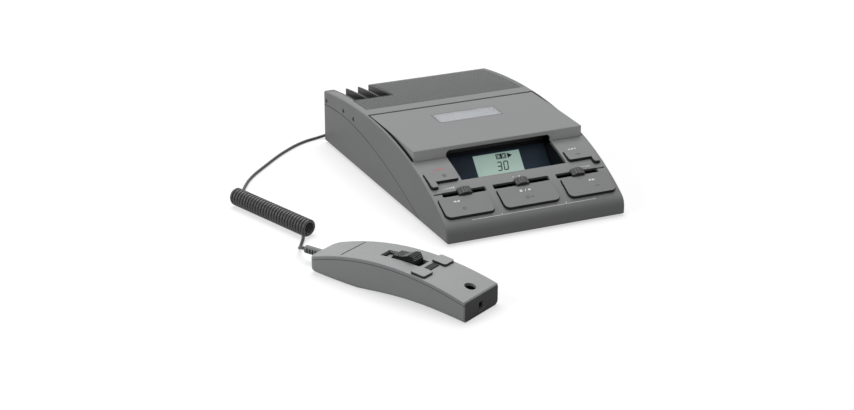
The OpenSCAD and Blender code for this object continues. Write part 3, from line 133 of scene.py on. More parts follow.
# %% [markdown]
# ## Camera
# The camera could be set by eye, but the straight edges of the case in the photograph fix it better.
# It is a long lens, looking down a little from the front left.

# %% Camera
CAMERA_AT = (-587.3, -1115.8, 528.9)
LOOK_DOWN = 22.04
LOOK_ROUND = 24.24
LENS = 82.2
SENSOR_W = 36
NEAREST = 0.05
bpy.ops.object.camera_add(
    location=place(*CAMERA_AT),
    rotation=(math.radians(90 - LOOK_DOWN), 0, math.radians(-LOOK_ROUND)),
)
camera = bpy.context.object
camera.name = "photo_camera"
camera.data.sensor_width = SENSOR_W
camera.data.lens = LENS
camera.data.clip_start = NEAREST
bpy.context.scene.camera = camera
print("camera", LENS, "mm lens,", LOOK_DOWN, "degrees down,", LOOK_ROUND, "degrees round")

# %% [markdown]
# ## The curly cord
# The cord is one unbroken sheath: a lead from the sleeve, a row of close curls and a plain tail.
# A Screw modifier could make the curls, but one line from end to end leaves no joints.
# The curls follow a formula, and the loose stretches are smooth lines through a few chosen points.
# The line becomes a curve with a round bevel, and then a mesh.

# %% Route of the cord
CORD_D = 2.4
CURL_OD = 13.0
CURL_PITCH = 3.0
CURLS = 27.5
POINTS_PER_CURL = 24
CURL_TURN = math.radians(18.5)
curl_start = Vector((-150.0, 54.6, CURL_OD / 2))
curl_along = Vector((-math.sin(CURL_TURN), math.cos(CURL_TURN), 0))
curl_side = Vector((math.cos(CURL_TURN), math.sin(CURL_TURN), 0))
curl_r = (CURL_OD - CORD_D) / 2


def curl_point(t):
    """A point of the curls after t turns, going up the left side first."""
    a = math.pi - 2 * math.pi * t
    across = curl_side * curl_r * math.cos(a)
    above = Vector((0, 0, curl_r * math.sin(a)))
    return curl_start + curl_along * CURL_PITCH * t + across + above


def rounded(points, step=2.0):
    """A smooth line through the points, with a point about every step millimetres."""
    line = []
    for i in range(len(points) - 1):
        p0 = points[max(i - 1, 0)]
        p1, p2 = points[i], points[i + 1]
        p3 = points[min(i + 2, len(points) - 1)]
        parts = max(1, round((p2 - p1).length / step))
        square = 2 * p0 - 5 * p1 + 4 * p2 - p3
        cube = 3 * p1 - p0 - 3 * p2 + p3
        for k in range(parts):
            t = k / parts
            line.append(0.5 * (2 * p1 + (p2 - p0) * t + square * t**2 + cube * t**3))
    return line + [points[-1]]


# %% Listed ends of the cord
UP = Vector((0, 0, 1))
MIC_TURN = math.radians(29.6)
FLOOR_Z = CORD_D / 2 + 0.1
LOW_Z = FLOOR_Z + 0.4
UNDER_CURL = UP * CORD_D
LOWER = UP * (CORD_D + 1)
LEAD_POINTS = (
    (-167.9, 24, 7.3), (-167, 28.5, 5.2), (-165.2, 33, 3.1), (-163, 37.5, 1.75),
    (-160.7, 41.9, FLOOR_Z), (-158.4, 46.2, FLOOR_Z), (-156.2, 50, LOW_Z),
)
TAIL_ON_FLOOR = (
    (-168, 144.5), (-164.5, 152), (-160, 160.5), (-154, 170), (-147, 179), (-139, 187.5),
    (-130.5, 196), (-122, 204.5), (-113, 213), (-104, 220.5), (-94.5, 227.5), (-84.5, 233),
)
TAIL_TO_PLUG = (
    (-74, 236.4, 1.4), (-64, 237, 2.8), (-55, 237, 5.5), (-47.5, 237, 9.6),
    (-42, 237, 11.6), (-38.4, 237, 12), (-36, 237, 12),
)
first, last = curl_point(0), curl_point(CURLS)
relief_end = Vector((-166.081, 17.673, 8.6))
relief_along = Vector((-math.sin(MIC_TURN), math.cos(MIC_TURN), 0))
lead = [relief_end, relief_end + relief_along * CORD_D]
lead += [Vector(p) for p in LEAD_POINTS]
lead += [first - LOWER, first - UNDER_CURL]
tail = [last - UNDER_CURL, last - LOWER, Vector((-170, 139, LOW_Z))]
tail += [Vector((x, y, FLOOR_Z)) for x, y in TAIL_ON_FLOOR]
tail += [Vector(p) for p in TAIL_TO_PLUG]
curls = [curl_point(i / POINTS_PER_CURL) for i in range(int(CURLS * POINTS_PER_CURL) + 1)]
route = [place(*p) for p in rounded(lead) + curls + rounded(tail)]

# %% Cord mesh
line = bpy.data.curves.new("cord_line", "CURVE")
line.dimensions = "3D"
spline = line.splines.new("POLY")
spline.points.add(len(route) - 1)
for point, p in zip(spline.points, route):
    point.co = (*p, 1)
line.bevel_depth = CORD_D / 2 * MM
line.bevel_resolution = 3
line.use_fill_caps = True
cord = bpy.data.objects.new("curly_cord_sheath", line)
bpy.context.scene.collection.objects.link(cord)
only(cord)
bpy.ops.object.convert(target="MESH")
cord = bpy.context.object
bpy.ops.object.shade_smooth()
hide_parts("cord_lead", "curly_cord", "cord_tail")
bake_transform(cord)
print("cord mesh", len(cord.data.polygons), "faces")

# %% [markdown]
# ## Finishes
# Nearly all of the machine is moulded plastic with a fine spark-eroded skin.
# That skin could be drawn anew in each material, but one shader group serves them all.
# It takes a colour and adds a faint mottle, a roughness and a bumped normal.
# Each plastic places it with its own values, so light, mid grey and black mouldings belong together.


# %% Node helpers
def new_tree(name):
    """A shader group with the sockets still to be made."""
    return bpy.data.node_groups.new(name, "ShaderNodeTree")


def add(tree, kind, x=0, y=0, **values):
    """Adds a node, and sets its inputs by name and its own settings by attribute."""
    made = tree.nodes.new("ShaderNode" + kind)
    made.location = (x, y)
    for key, value in values.items():
        if hasattr(made, key):
            setattr(made, key, value)
        else:
            made.inputs[key.replace("_", " ")].default_value = value
    return made


# %% Moulded skin: what goes in and out
skin = new_tree("moulded_skin")
for name, kind, value in (
    ("Color", "NodeSocketColor", (0.2, 0.2, 0.2, 1)),
    ("Grain Size", "NodeSocketFloat", 2600.0),
    ("Grain Depth", "NodeSocketFloat", 0.25),
    ("Mottle", "NodeSocketFloat", 0.06),
    ("Rough Low", "NodeSocketFloat", 0.42),
    ("Rough High", "NodeSocketFloat", 0.56),
):
    socket = skin.interface.new_socket(name, in_out="INPUT", socket_type=kind)
    socket.default_value = value
for name, kind in (
    ("Color", "NodeSocketColor"),
    ("Roughness", "NodeSocketFloat"),
    ("Normal", "NodeSocketVector"),
):
    skin.interface.new_socket(name, in_out="OUTPUT", socket_type=kind)
print("skin", [item.name for item in skin.interface.items_tree])

# %% Moulded skin: grain and mottle
GRAIN_H = 0.00006
MOTTLE_SCALE = 45.0
given = skin.nodes.new("NodeGroupInput")
given.location = (-900, 0)
result = skin.nodes.new("NodeGroupOutput")
result.location = (700, 0)
where = add(skin, "TexCoord", -900, -300)
grain = add(skin, "TexNoise", -500, -300, Detail=3.0, Roughness=0.6)
cloud = add(skin, "TexNoise", -500, 200, Scale=MOTTLE_SCALE, Detail=4.0, Roughness=0.55)
bump = add(skin, "Bump", 300, -300, Distance=GRAIN_H)
tone = add(skin, "MapRange", -200, 200)
tint = add(skin, "MixRGB", 300, 200, blend_type="MULTIPLY", use_clamp=False)
tint.inputs[0].default_value = 1.0
rough = add(skin, "MapRange", 0, -60)
less = add(skin, "Math", -500, 420, operation="SUBTRACT")
less.inputs[0].default_value = 1.0
more = add(skin, "Math", -500, 560, operation="ADD")
more.inputs[0].default_value = 1.0
link = skin.links.new
link(where.outputs["Object"], grain.inputs["Vector"])
link(where.outputs["Object"], cloud.inputs["Vector"])
link(given.outputs["Grain Size"], grain.inputs["Scale"])
link(given.outputs["Grain Depth"], bump.inputs["Strength"])
link(grain.outputs["Fac"], bump.inputs["Height"])
link(given.outputs["Mottle"], less.inputs[1])
link(given.outputs["Mottle"], more.inputs[1])
link(cloud.outputs["Fac"], tone.inputs["Value"])
link(less.outputs[0], tone.inputs["To Min"])
link(more.outputs[0], tone.inputs["To Max"])
link(given.outputs["Color"], tint.inputs[1])
link(tone.outputs["Result"], tint.inputs[2])
link(cloud.outputs["Fac"], rough.inputs["Value"])
link(given.outputs["Rough Low"], rough.inputs["To Min"])
link(given.outputs["Rough High"], rough.inputs["To Max"])
link(tint.outputs[0], result.inputs["Color"])
link(rough.outputs["Result"], result.inputs["Roughness"])
link(bump.outputs["Normal"], result.inputs["Normal"])
print("skin nodes", len(skin.nodes))

# %% A moulded material
SHEEN = 0.3


def moulded(
    name, color, rough_low=0.42, rough_high=0.56,
    grain_size=2600.0, grain_depth=0.25, mottle=0.05, **principled
):
    """A material that places the moulded skin on a Principled shader."""
    material = bpy.data.materials.new(name)
    material.use_nodes = True
    tree = material.node_tree
    shader = tree.nodes["Principled BSDF"]
    shader.inputs["Specular IOR Level"].default_value = SHEEN
    for key, value in principled.items():
        shader.inputs[key.replace("_", " ")].default_value = value
    group = tree.nodes.new("ShaderNodeGroup")
    group.node_tree = skin
    group.location = (-300, 200)
    for key, value in (
        ("Color", (*color, 1)),
        ("Rough Low", rough_low),
        ("Rough High", rough_high),
        ("Grain Size", grain_size),
        ("Grain Depth", grain_depth),
        ("Mottle", mottle),
    ):
        group.inputs[key].default_value = value
    tree.links.new(group.outputs["Color"], shader.inputs["Base Color"])
    tree.links.new(group.outputs["Roughness"], shader.inputs["Roughness"])
    tree.links.new(group.outputs["Normal"], shader.inputs["Normal"])
    return material


# %% Plastics of the desk unit
case_grey = moulded("case_grey", (0.178, 0.181, 0.181))
base_grey = moulded("base_grey", (0.175, 0.178, 0.178))
lid_grey = moulded("lid_grey", (0.19, 0.193, 0.195))
# Painted light: the front face of the lid's lip gets a lighter copy of the lid's grey.
lip_painted_light = moulded("lip_painted_light", (0.5, 0.505, 0.51))
# Painted light: the lid's sides get a lighter copy of the lid's grey, and their foot gets painted shade
# further on.
painted_light_lid_side = moulded("lid_side_painted_light", (0.34, 0.345, 0.347))
grille_grey = moulded("grille_grey", (0.125, 0.13, 0.127), 0.5, 0.65)
# Painted shade for the floors of the panel's shallow holes.
hole_painted_shade = moulded("hole_painted_shade", (0.03, 0.031, 0.031), 0.6, 0.7)
rack_grey = moulded("rack_grey", (0.13, 0.133, 0.133), Specular_IOR_Level=0.08)
key_grey = moulded("key_grey", (0.175, 0.178, 0.178), 0.45, 0.6, grain_depth=0.4)
# Painted shade for the walls of the keys and the pads, which sit in dark gaps.
wall_painted_shade = moulded("wall_painted_shade", (0.03, 0.03, 0.031), 0.5, 0.6)
# Dark plastic of the sliders, also used as painted shade on the wall behind the display.
slider_dark_and_shade = moulded("slider_dark_and_shade", (0.06, 0.061, 0.062), 0.4, 0.5)
print("materials", len(bpy.data.materials))

# %% Plastics of the microphone and its cord
mic_grey = moulded("mic_grey", (0.285, 0.29, 0.292))
mic_shell = moulded("mic_shell_grey", (0.275, 0.28, 0.282))
# Painted shade: the front end of the microphone is made much darker than its shell.
painted_shade_mic_front = moulded("mic_front_painted_shade", (0.06, 0.061, 0.061), Specular_IOR_Level=0.1)
# Painted highlight for the tops of the ribs on the thumb slide.
rib_painted_highlight = moulded("rib_painted_highlight", (0.2, 0.2, 0.202), 0.35, 0.45)
thumb_dark = moulded("thumb_dark", (0.02, 0.02, 0.021), 0.35, 0.45, Specular_IOR_Level=0.08)
# Dark plastic of the button bar, also used as painted shade round the latch holes.
bar_dark_and_shade = moulded("bar_dark_and_shade", (0.03, 0.03, 0.031), 0.35, 0.45, Specular_IOR_Level=0.08)
relief_grey = moulded("relief_grey", (0.17, 0.172, 0.173), 0.45, 0.55)
cord_black = moulded(
    "cord_sheath_black", (0.04, 0.04, 0.041), 0.3, 0.42,
    grain_size=1200.0, grain_depth=0.15, Specular_IOR_Level=0.5,
)
print("materials with the microphone's", len(bpy.data.materials))

# %% Display, window and prints
# Painted shade: the display housing is near black, darker than the black plastics, for the shade in the
# deep recess.
trough_painted_shade = moulded("trough_painted_shade", (0.008, 0.009, 0.011), 0.3, 0.4)
pane_dark = moulded(
    "blue_black_pane", (0.045, 0.07, 0.1), 0.25, 0.32,
    grain_depth=0.0, mottle=0.1, Specular_IOR_Level=0.1,
)
# Painted glow: a faint emission lifts the display's pale green, though the display is no lamp.
lcd_green_painted_glow = moulded(
    "lcd_pale_green_painted_glow", (0.6, 0.75, 0.64), 0.18, 0.24,
    grain_size=900.0, grain_depth=0.02, mottle=0.05,
    Emission_Color=(0.7, 1.0, 0.92, 1), Emission_Strength=0.22,
)
lcd_ink = moulded("lcd_ink", (0.006, 0.008, 0.008), 0.4, 0.5)
clear = moulded(
    "clear_window", (0.86, 0.88, 0.9), 0.05, 0.09,
    grain_depth=0.0, mottle=0.02, Transmission_Weight=0.92, IOR=1.49,
)
card_white = moulded("card_white", (0.18, 0.19, 0.215), 0.6, 0.7)
card_rule = moulded("card_rule", (0.36, 0.38, 0.42), 0.6, 0.7)
print_white = moulded("print_white", (0.75, 0.75, 0.74), 0.5, 0.6)
print_red = moulded("print_red", (0.55, 0.06, 0.05), 0.5, 0.6)
print_dark = moulded("print_dark", (0.05, 0.05, 0.052), 0.5, 0.6)
print("materials with the display's", len(bpy.data.materials))

# %% Inner pieces
dark_moulding = moulded("dark_moulding", (0.022, 0.022, 0.024), 0.35, 0.5)
nylon = moulded("nylon_white", (0.62, 0.6, 0.55), 0.4, 0.5)
rubber = moulded("black_rubber", (0.016, 0.016, 0.017), 0.6, 0.75, grain_size=1500.0)
board_green = moulded("board_green", (0.02, 0.09, 0.04), 0.35, 0.5, grain_size=400.0, mottle=0.35)
paper_cone = moulded("paper_cone", (0.03, 0.03, 0.028), 0.8, 0.9, grain_size=700.0, grain_depth=0.6)
steel = moulded(
    "bright_steel", (0.6, 0.6, 0.59), 0.25, 0.4,
    grain_size=900.0, grain_depth=0.05, Metallic=1.0,
)
brass = moulded("turned_brass", (0.62, 0.46, 0.2), 0.25, 0.35, grain_depth=0.05, Metallic=1.0)
print("materials in all", len(bpy.data.materials))

# %% [markdown]
# The two halves of the case meet in a curved line, a thin dark gap, and so do those of the microphone.
# The height of such a line is a formula over a distance, so a small group works it out from the place.
# The group gives back a mask, one on the line and zero away from it, that darkens the plastics.
# The real gaps are too thin to show at this size, so the paint makes them a little wider.

# %% Helpers for masks
SEAM_GREY = 0.03
SOFT_EDGE = 2.3


def chain(tree, source, steps, x, y=0):
    """Sends a value through a row of Math nodes, each with its operation and second number."""
    for operation, number in steps:
        made = add(tree, "Math", x, y, operation=operation)
        made.inputs[1].default_value = number
        tree.links.new(source, made.inputs[0])
        source = made.outputs[0]
        x += 160
    return source


def combine(tree, operation, first, second, x, y=0):
    """Adds a Math node for two values of a tree, and gives back what it puts out."""
    made = add(tree, "Math", x, y, operation=operation)
    tree.links.new(first, made.inputs[0])
    tree.links.new(second, made.inputs[1])
    return made.outputs[0]


def ramp(tree, source, none_at, full_at, x, y=0):
    """A value that goes from zero to one while the source goes between two numbers."""
    made = add(tree, "MapRange", x, y, From_Min=none_at, From_Max=full_at)
    tree.links.new(source, made.inputs["Value"])
    return made.outputs["Result"]


def seam_and_shade_group(name):
    """A new group with a Line output, the object's own place in it, and that place's axes."""
    tree = new_tree(name)
    tree.interface.new_socket("Line", in_out="OUTPUT", socket_type="NodeSocketFloat")
    tree.nodes.new("NodeGroupOutput").location = (1100, 0)
    where = add(tree, "TexCoord", -1600)
    split = add(tree, "SeparateXYZ", -1400)
    tree.links.new(where.outputs["Object"], split.inputs[0])
    return tree, where.outputs["Object"], split.outputs


def put_out(tree, mask):
    """Sends a mask to the Line output of its group."""
    tree.links.new(mask, tree.nodes["Group Output"].inputs["Line"])


def line_at(tree, height, z, half_width):
    """Puts out one where z lies within half_width millimetres of the height, in metres."""
    apart = chain(tree, combine(tree, "SUBTRACT", z, height, 500), [("ABSOLUTE", 0.0)], 660)
    put_out(tree, ramp(tree, apart, SOFT_EDGE * half_width * MM, half_width * MM, 860))


def darken_line(material, tree, grey=SEAM_GREY):
    """Darkens a moulded material to a grey where a group puts out one, for dark joints and for painted
    shade.
    """
    own = material.node_tree
    shader = own.nodes["Principled BSDF"]
    painted = shader.inputs["Base Color"].links[0].from_socket
    line_node = own.nodes.new("ShaderNodeGroup")
    line_node.node_tree = tree
    line_node.location = (-300, 500)
    darker = add(own, "MixRGB", -100, 300)
    darker.inputs[2].default_value = (grey, grey, grey, 1)
    own.links.new(line_node.outputs["Line"], darker.inputs[0])
    own.links.new(painted, darker.inputs[1])
    own.links.new(darker.outputs[0], shader.inputs["Base Color"])


# %% Seam of the case
PER_M = 1000.0
FOOT_H = 1.6
PART_START = 43.0
PART_Y = 190.0
PART_H = 33.0
PART_POWER = 1.8
CASE_LINE = 0.26
case_seam, _, axes = seam_and_shade_group("case_seam")
rise = [("MULTIPLY", PER_M), ("SUBTRACT", NOSE_Y + PART_Y), ("ABSOLUTE", 0.0)]
rise += [("DIVIDE", PART_Y - PART_START), ("POWER", PART_POWER), ("MULTIPLY", -PART_H)]
rise += [("ADD", FOOT_H + PART_H), ("MULTIPLY", MM)]
line_at(case_seam, chain(case_seam, axes["Y"], rise, -1200), axes["Z"], CASE_LINE)
darken_line(case_grey, case_seam)
darken_line(base_grey, case_seam)
print("case seam from", PART_START, "mm behind the nose")

# %% Seam of the microphone
MIC_AT = place(-95.2, -107.1, 0)
MIC_PEAK = 61.92
MIC_SEAM = 21.1
MIC_REAR = 67.08
FRONT_DROP = 9.0
REAR_DROP = 11.7
MIC_LINE = 0.12
mic_seam, spot, axes = seam_and_shade_group("mic_seam")
along = add(mic_seam, "VectorMath", -1400, 300, operation="DOT_PRODUCT")
along.inputs[1].default_value = (-math.sin(MIC_TURN), math.cos(MIC_TURN), 0)
mic_seam.links.new(spot, along.inputs[0])
start = -math.sin(MIC_TURN) * MIC_AT.x + math.cos(MIC_TURN) * MIC_AT.y
to_peak = [("SUBTRACT", start), ("MULTIPLY", PER_M), ("SUBTRACT", MIC_PEAK)]
from_peak = chain(mic_seam, along.outputs["Value"], to_peak, -1200, 300)
behind = chain(mic_seam, from_peak, [("GREATER_THAN", 0.0)], -700, 500)
bend = add(mic_seam, "MapRange", -500, 500)
bend.inputs["To Min"].default_value = FRONT_DROP / MIC_PEAK**2
bend.inputs["To Max"].default_value = REAR_DROP / MIC_REAR**2
mic_seam.links.new(behind, bend.inputs["Value"])
squared = chain(mic_seam, from_peak, [("POWER", 2.0)], -700, 250)
fall = combine(mic_seam, "MULTIPLY", squared, bend.outputs["Result"], -200, 400)
to_level = [("MULTIPLY", -1.0), ("ADD", MIC_SEAM), ("MULTIPLY", MM)]
line_at(mic_seam, chain(mic_seam, fall, to_level, 0, 300), axes["Z"], MIC_LINE)
darken_line(mic_shell, mic_seam)
print("microphone seam", MIC_SEAM, "mm over the table at its highest")

# %% [markdown]
# Deep slots and narrow gaps are nearly black on the real machine, where little light gets in.
# Lamps alone leave them grey, so three more masks of the same kind darken the plastic there.
# The slots of the rack get darker with the depth under the curve of the case.
# A strip of the case beside the lid is dark, and so is the foot of the lid's own side.

# %% Shade in the rack
BODY_D = 229.0
BODY_H = 47.7
REAR_H = 40.6
PEAK_Y = 143.0
RACK_LEAN = 0.12
RACK_DUSK = 3.0
RACK_DARK = 6.0
DEEP_GREY = 0.004
rack_shade, _, axes = seam_and_shade_group("rack_shade")
arch = [("MULTIPLY", PER_M), ("SUBTRACT", NOSE_Y + PEAK_Y), ("DIVIDE", BODY_D - PEAK_Y)]
arch += [("POWER", 2.0), ("MULTIPLY", REAR_H - BODY_H), ("ADD", FOOT_H + BODY_H)]
forward = [("MULTIPLY", -PER_M), ("ADD", NOSE_Y + BODY_D), ("MULTIPLY", RACK_LEAN)]
top = chain(rack_shade, axes["Y"], arch, -1200)
height = chain(rack_shade, axes["Z"], [("MULTIPLY", PER_M)], -1200, -300)
depth = combine(rack_shade, "SUBTRACT", top, height, 0)
total = combine(rack_shade, "ADD", depth, chain(rack_shade, axes["Y"], forward, -1200, 300), 200)
put_out(rack_shade, ramp(rack_shade, total, RACK_DUSK, RACK_DARK, 400))
darken_line(rack_grey, rack_shade, DEEP_GREY)
print("rack dark from", RACK_DARK, "mm down")

# %% Shade in the gap beside the lid
GAP_OFF = 0.3 * MM
GAP_HALF = 0.8 * MM
GAP_FADE = 1.2 * MM
GAP_END = 0.5 * MM
GAP_SHADE_GREY = 0.01
lid_low, lid_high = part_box("cassette_lid")
GAP_X = lid_high.x - NOSE_X * MM + GAP_OFF
GAP_Y = (lid_low.y + lid_high.y) / 2
lid_gap, _, axes = seam_and_shade_group("lid_gap")
aside = [("SUBTRACT", NOSE_X * MM), ("ABSOLUTE", 0.0), ("SUBTRACT", GAP_X), ("ABSOLUTE", 0.0)]
from_gap = chain(lid_gap, axes["X"], aside, -1200, 300)
beside = ramp(lid_gap, from_gap, GAP_FADE, GAP_HALF, 0, 300)
reach = lid_high.y - GAP_Y
from_middle = chain(lid_gap, axes["Y"], [("SUBTRACT", GAP_Y), ("ABSOLUTE", 0.0)], -1200)
within = ramp(lid_gap, from_middle, reach, reach - GAP_END, 0)
put_out(lid_gap, combine(lid_gap, "MULTIPLY", beside, within, 300))
# Painted shade: a strip of the case beside the lid is darkened.
darken_line(case_grey, lid_gap, GAP_SHADE_GREY)
print("gap beside the lid", round(PER_M * GAP_X, 1), "mm from the middle")

# %% Shade on the side of the lid
NOSE_H = 10.0
CROWN_SHARE = 0.67
LID_DARK = 0.8 * MM
LID_CLEAR = 2.6 * MM
lid_shade, _, axes = seam_and_shade_group("lid_shade")
back = [("MULTIPLY", -PER_M / PEAK_Y), ("ADD", 1 + NOSE_Y / PEAK_Y), ("POWER", 2.0)]
square = chain(lid_shade, axes["Y"], back, -1200)
steeper = chain(lid_shade, square, [("MULTIPLY", 1 - CROWN_SHARE), ("ADD", CROWN_SHARE)], -700, 300)
bent = combine(lid_shade, "MULTIPLY", square, steeper, -400)
to_rim = [("MULTIPLY", (NOSE_H - BODY_H) * MM), ("ADD", (FOOT_H + BODY_H) * MM)]
over_rim = combine(lid_shade, "SUBTRACT", axes["Z"], chain(lid_shade, bent, to_rim, -200), 200)
put_out(lid_shade, ramp(lid_shade, over_rim, LID_CLEAR, LID_DARK, 400))
darken_line(painted_light_lid_side, lid_shade, DEEP_GREY)
print("side of the lid dark up to", round(PER_M * LID_DARK, 1), "mm over the rim")

# %% [markdown]
# With the finishes made, each piece of the machine gets its own.
# One table keeps this in one place, a row for each finish, so it is quick to find and to change.

# %% Finish of each node
KEYS = ("key_record", "key_search", "key_rewind", "key_stop_play", "key_wind")
SLIDERS = ("slider_left", "slider_middle", "slider_right")
PADS = ("mic_button_left", "mic_button_right")
nodes_of_finish = (
    (base_grey, "base_shell"),
    (case_grey, "top_shell"),
    (grille_grey, "speaker_grille"),
    (rack_grey, "cassette_rack"),
    (lid_grey, "cassette_lid"),
    (clear, "lid_window"),
    (trough_painted_shade, "display_housing"),
    (pane_dark, "display_pane"),
    (lcd_green_painted_glow, "lcd_glass"),
    (key_grey, *KEYS),
    (slider_dark_and_shade, *SLIDERS),
    (mic_shell, "mic_top_shell", "mic_bottom_shell"),
    (mic_grey, "mic_slide_plate", *PADS),
    (thumb_dark, "mic_thumb_slide"),
    (bar_dark_and_shade, "mic_button_bar"),
    (relief_grey, "strain_relief"),
    (cord_black, "cord_lead", "curly_cord", "cord_tail"),
    (
        dark_moulding, "key_frame", "key_switches", "slider_tracks", "cassette_deck", "board_parts",
        "speaker_basket", "mic_socket", "power_inlet", "earphone_jack", "foot_control_socket",
        "mic_switches", "mic_capsule",
    ),
    (board_green, "key_board", "main_board", "mic_board"),
    (steel, "lid_hinge_pins", "motor", "head_carriage", "tape_head", "case_screws", "mic_screws"),
    (brass, "motor_pulley"),
    (nylon, "reel_left", "reel_right", "drive_wheel"),
    (rubber, "drive_tyre", "drive_belt", "rubber_feet", "mic_plug"),
    (paper_cone, "speaker_cone"),
)
for material, *names in nodes_of_finish:
    for name in names:
        nodes[name].data.materials.clear()
        nodes[name].data.materials.append(material)
cord.data.materials.clear()
cord.data.materials.append(cord_black)
print("finishes on the nodes", len(nodes_of_finish))

# %% [markdown]
# ## Soft edges
# A moulding never has a knife edge: a small round along each edge catches the light.
# A CAD mesh is loose triangles, so a copy is merged and its flat faces are joined.
# A Bevel modifier then rounds what is still sharp.
# The copy is shown in place of the CAD piece, which is hidden, and rides on the same body.
# The copy then stands for the CAD piece, which stays in the physics.

# %% A copy with rounded edges
SAME_POINT = 0.000002
SAME_PLANE = math.radians(0.4)
body_of_node = {n: b for b, ns in frame["record"]["behaviour"]["bodies"].items() for n in ns}


def edit_all():
    """Opens the active object in edit mode with everything selected."""
    bpy.ops.object.mode_set(mode="EDIT")
    bpy.ops.mesh.select_all(action="SELECT")


def softened(node, width, segments=2, sharp=34):
    """A merged copy of a CAD node with its sharp edges rounded, by a width in millimetres."""
    copy = nodes[node].copy()
    copy.data = nodes[node].data.copy()
    copy.name = node + "_soft"
    for key in [k for k in copy.keys() if k.startswith("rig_")]:
        del copy[key]
    bpy.context.scene.collection.objects.link(copy)
    only(copy)
    bpy.ops.object.parent_clear(type="CLEAR_KEEP_TRANSFORM")
    edit_all()
    bpy.ops.mesh.customdata_custom_splitnormals_clear()
    bpy.ops.mesh.remove_doubles(threshold=SAME_POINT)
    bpy.ops.mesh.dissolve_limited(angle_limit=SAME_PLANE, delimit=set())
    bpy.ops.object.mode_set(mode="OBJECT")
    bevel = copy.modifiers.new("soft_edge", "BEVEL")
    bevel.width = width * MM
    bevel.segments = segments
    bevel.limit_method = "ANGLE"
    bevel.angle_limit = math.radians(sharp)
    bevel.use_clamp_overlap = True
    bpy.ops.object.modifier_apply(modifier="soft_edge")
    bpy.ops.object.shade_smooth_by_angle(angle=math.radians(sharp))
    weighted = copy.modifiers.new("flat_faces", "WEIGHTED_NORMAL")
    weighted.keep_sharp = True
    weighted.weight = 100
    bpy.ops.object.modifier_apply(modifier="flat_faces")
    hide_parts(node)
    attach(copy, body_of_node[node])
    return copy


# %% Pieces with rounded edges
round_of_node = {"cassette_lid": 0.5}
round_of_node |= {node: 0.45 for node in KEYS}
round_of_node |= {node: 0.2 for node in SLIDERS}
round_of_node |= {node: 0.5 for node in PADS}
round_of_node |= {
    "mic_button_bar": 0.35, "strain_relief": 0.25, "top_shell": 0.3, "base_shell": 0.25,
    "mic_top_shell": 0.25, "mic_bottom_shell": 0.25, "cassette_rack": 0.25,
    "mic_thumb_slide": 0.03, "mic_plug": 0.4,
}
soft = {}
for node, width in round_of_node.items():
    soft[node] = softened(node, width)
    print(node, "rounded", width, "mm,", len(soft[node].data.polygons), "faces")

# %% [markdown]
# The plug at the end of the cord is one of these copies, so its name can be printed now.

# %% Where the cord ends
print("cord ends in", soft["mic_plug"].name)

# %% [markdown]
# ## Second finishes
# Some faces look different from the rest: the walls of a key sit in a dark gap and get painted shade,
# and the top of a rib gets a painted highlight.
# The faces could be cut off as pieces of their own, but a second material on them is simpler.
# A few helpers come first: one picks faces or points by a test, and one looks for the top of a piece.
# Two more settle and finish a new piece, and the last gives some of its faces a second finish.

# %% Picking by place
FAR_ABOVE = 0.2


def pick(obj, test, kind="VERT"):
    """Selects, in edit mode, the elements for which the test holds."""
    bpy.ops.mesh.select_mode(type=kind)
    bpy.ops.mesh.select_all(action="DESELECT")
    cage = bmesh.from_edit_mesh(obj.data)
    for item in {"VERT": cage.verts, "EDGE": cage.edges, "FACE": cage.faces}[kind]:
        item.select_set(test(item))
    bmesh.update_edit_mesh(obj.data)


def top_of(node, x, y):
    """The highest point of a CAD node over a place in metres, and the normal there."""
    mesh = nodes[node].data
    tree = BVHTree.FromPolygons([v.co for v in mesh.vertices], [p.vertices for p in mesh.polygons])
    point, normal, _, _ = tree.ray_cast(Vector((x, y, FAR_ABOVE)), -UP)
    return point, normal


def settle():
    """Puts the place, turn and size of the selected object into its mesh."""
    bpy.ops.object.transform_apply(location=True, rotation=True, scale=True)


def finish_piece(obj, name, body, slot, *materials):
    """Puts a piece's place in its mesh, names it, gives it its finish and ties it to a body."""
    only(obj)
    settle()
    obj.name = name
    obj.data.name = name
    if materials:
        obj.data.materials.clear()
        for material in materials:
            obj.data.materials.append(material)
    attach(obj, body)
    return obj


def paint_faces(obj, material, test):
    """Gives some faces of a piece a second finish."""
    only(obj)
    obj.data.materials.append(material)
    bpy.ops.object.mode_set(mode="EDIT")
    pick(obj, test, "FACE")
    obj.active_material_index = len(obj.data.materials) - 1
    bpy.ops.object.material_slot_assign()
    bpy.ops.object.mode_set(mode="OBJECT")


# %% Second finishes of the keys and the microphone
NOT_TOP = 0.5
END_FACING = 0.9
FLAT_TOP = 0.99
THUMB_TOP = 28.0 * MM
RIB_FLOOR = 25.3 * MM
# Painted shade on the walls of the keys and the microphone's pads.
for node in KEYS + PADS:
    paint_faces(soft[node], wall_painted_shade, lambda f: f.normal.z < NOT_TOP)
mic_ahead = Vector((math.sin(MIC_TURN), -math.cos(MIC_TURN), 0))


def at_mic_front(face):
    """True for the faces of the microphone's front end."""
    facing = face.normal.dot(mic_ahead) > END_FACING
    return facing and (face.calc_center_median() - MIC_AT).dot(mic_ahead) > -MM


# Painted shade on the front end of the microphone.
for node in ("mic_top_shell", "mic_bottom_shell"):
    paint_faces(soft[node], painted_shade_mic_front, at_mic_front)
# Painted highlight on the flat tops of the thumb slide's ribs.
paint_faces(
    soft["mic_thumb_slide"], rib_painted_highlight,
    lambda f: f.normal.z > FLAT_TOP and RIB_FLOOR < f.calc_center_median().z < THUMB_TOP,
)
print("dark walls on", len(KEYS + PADS), "pieces")

# %% Second finishes of the lid and the case
LID_FACING = 0.8
LEDGE = 0.2 * MM
lip_back = place(0, 63.6, 0).y
lid_edge = 66 * MM
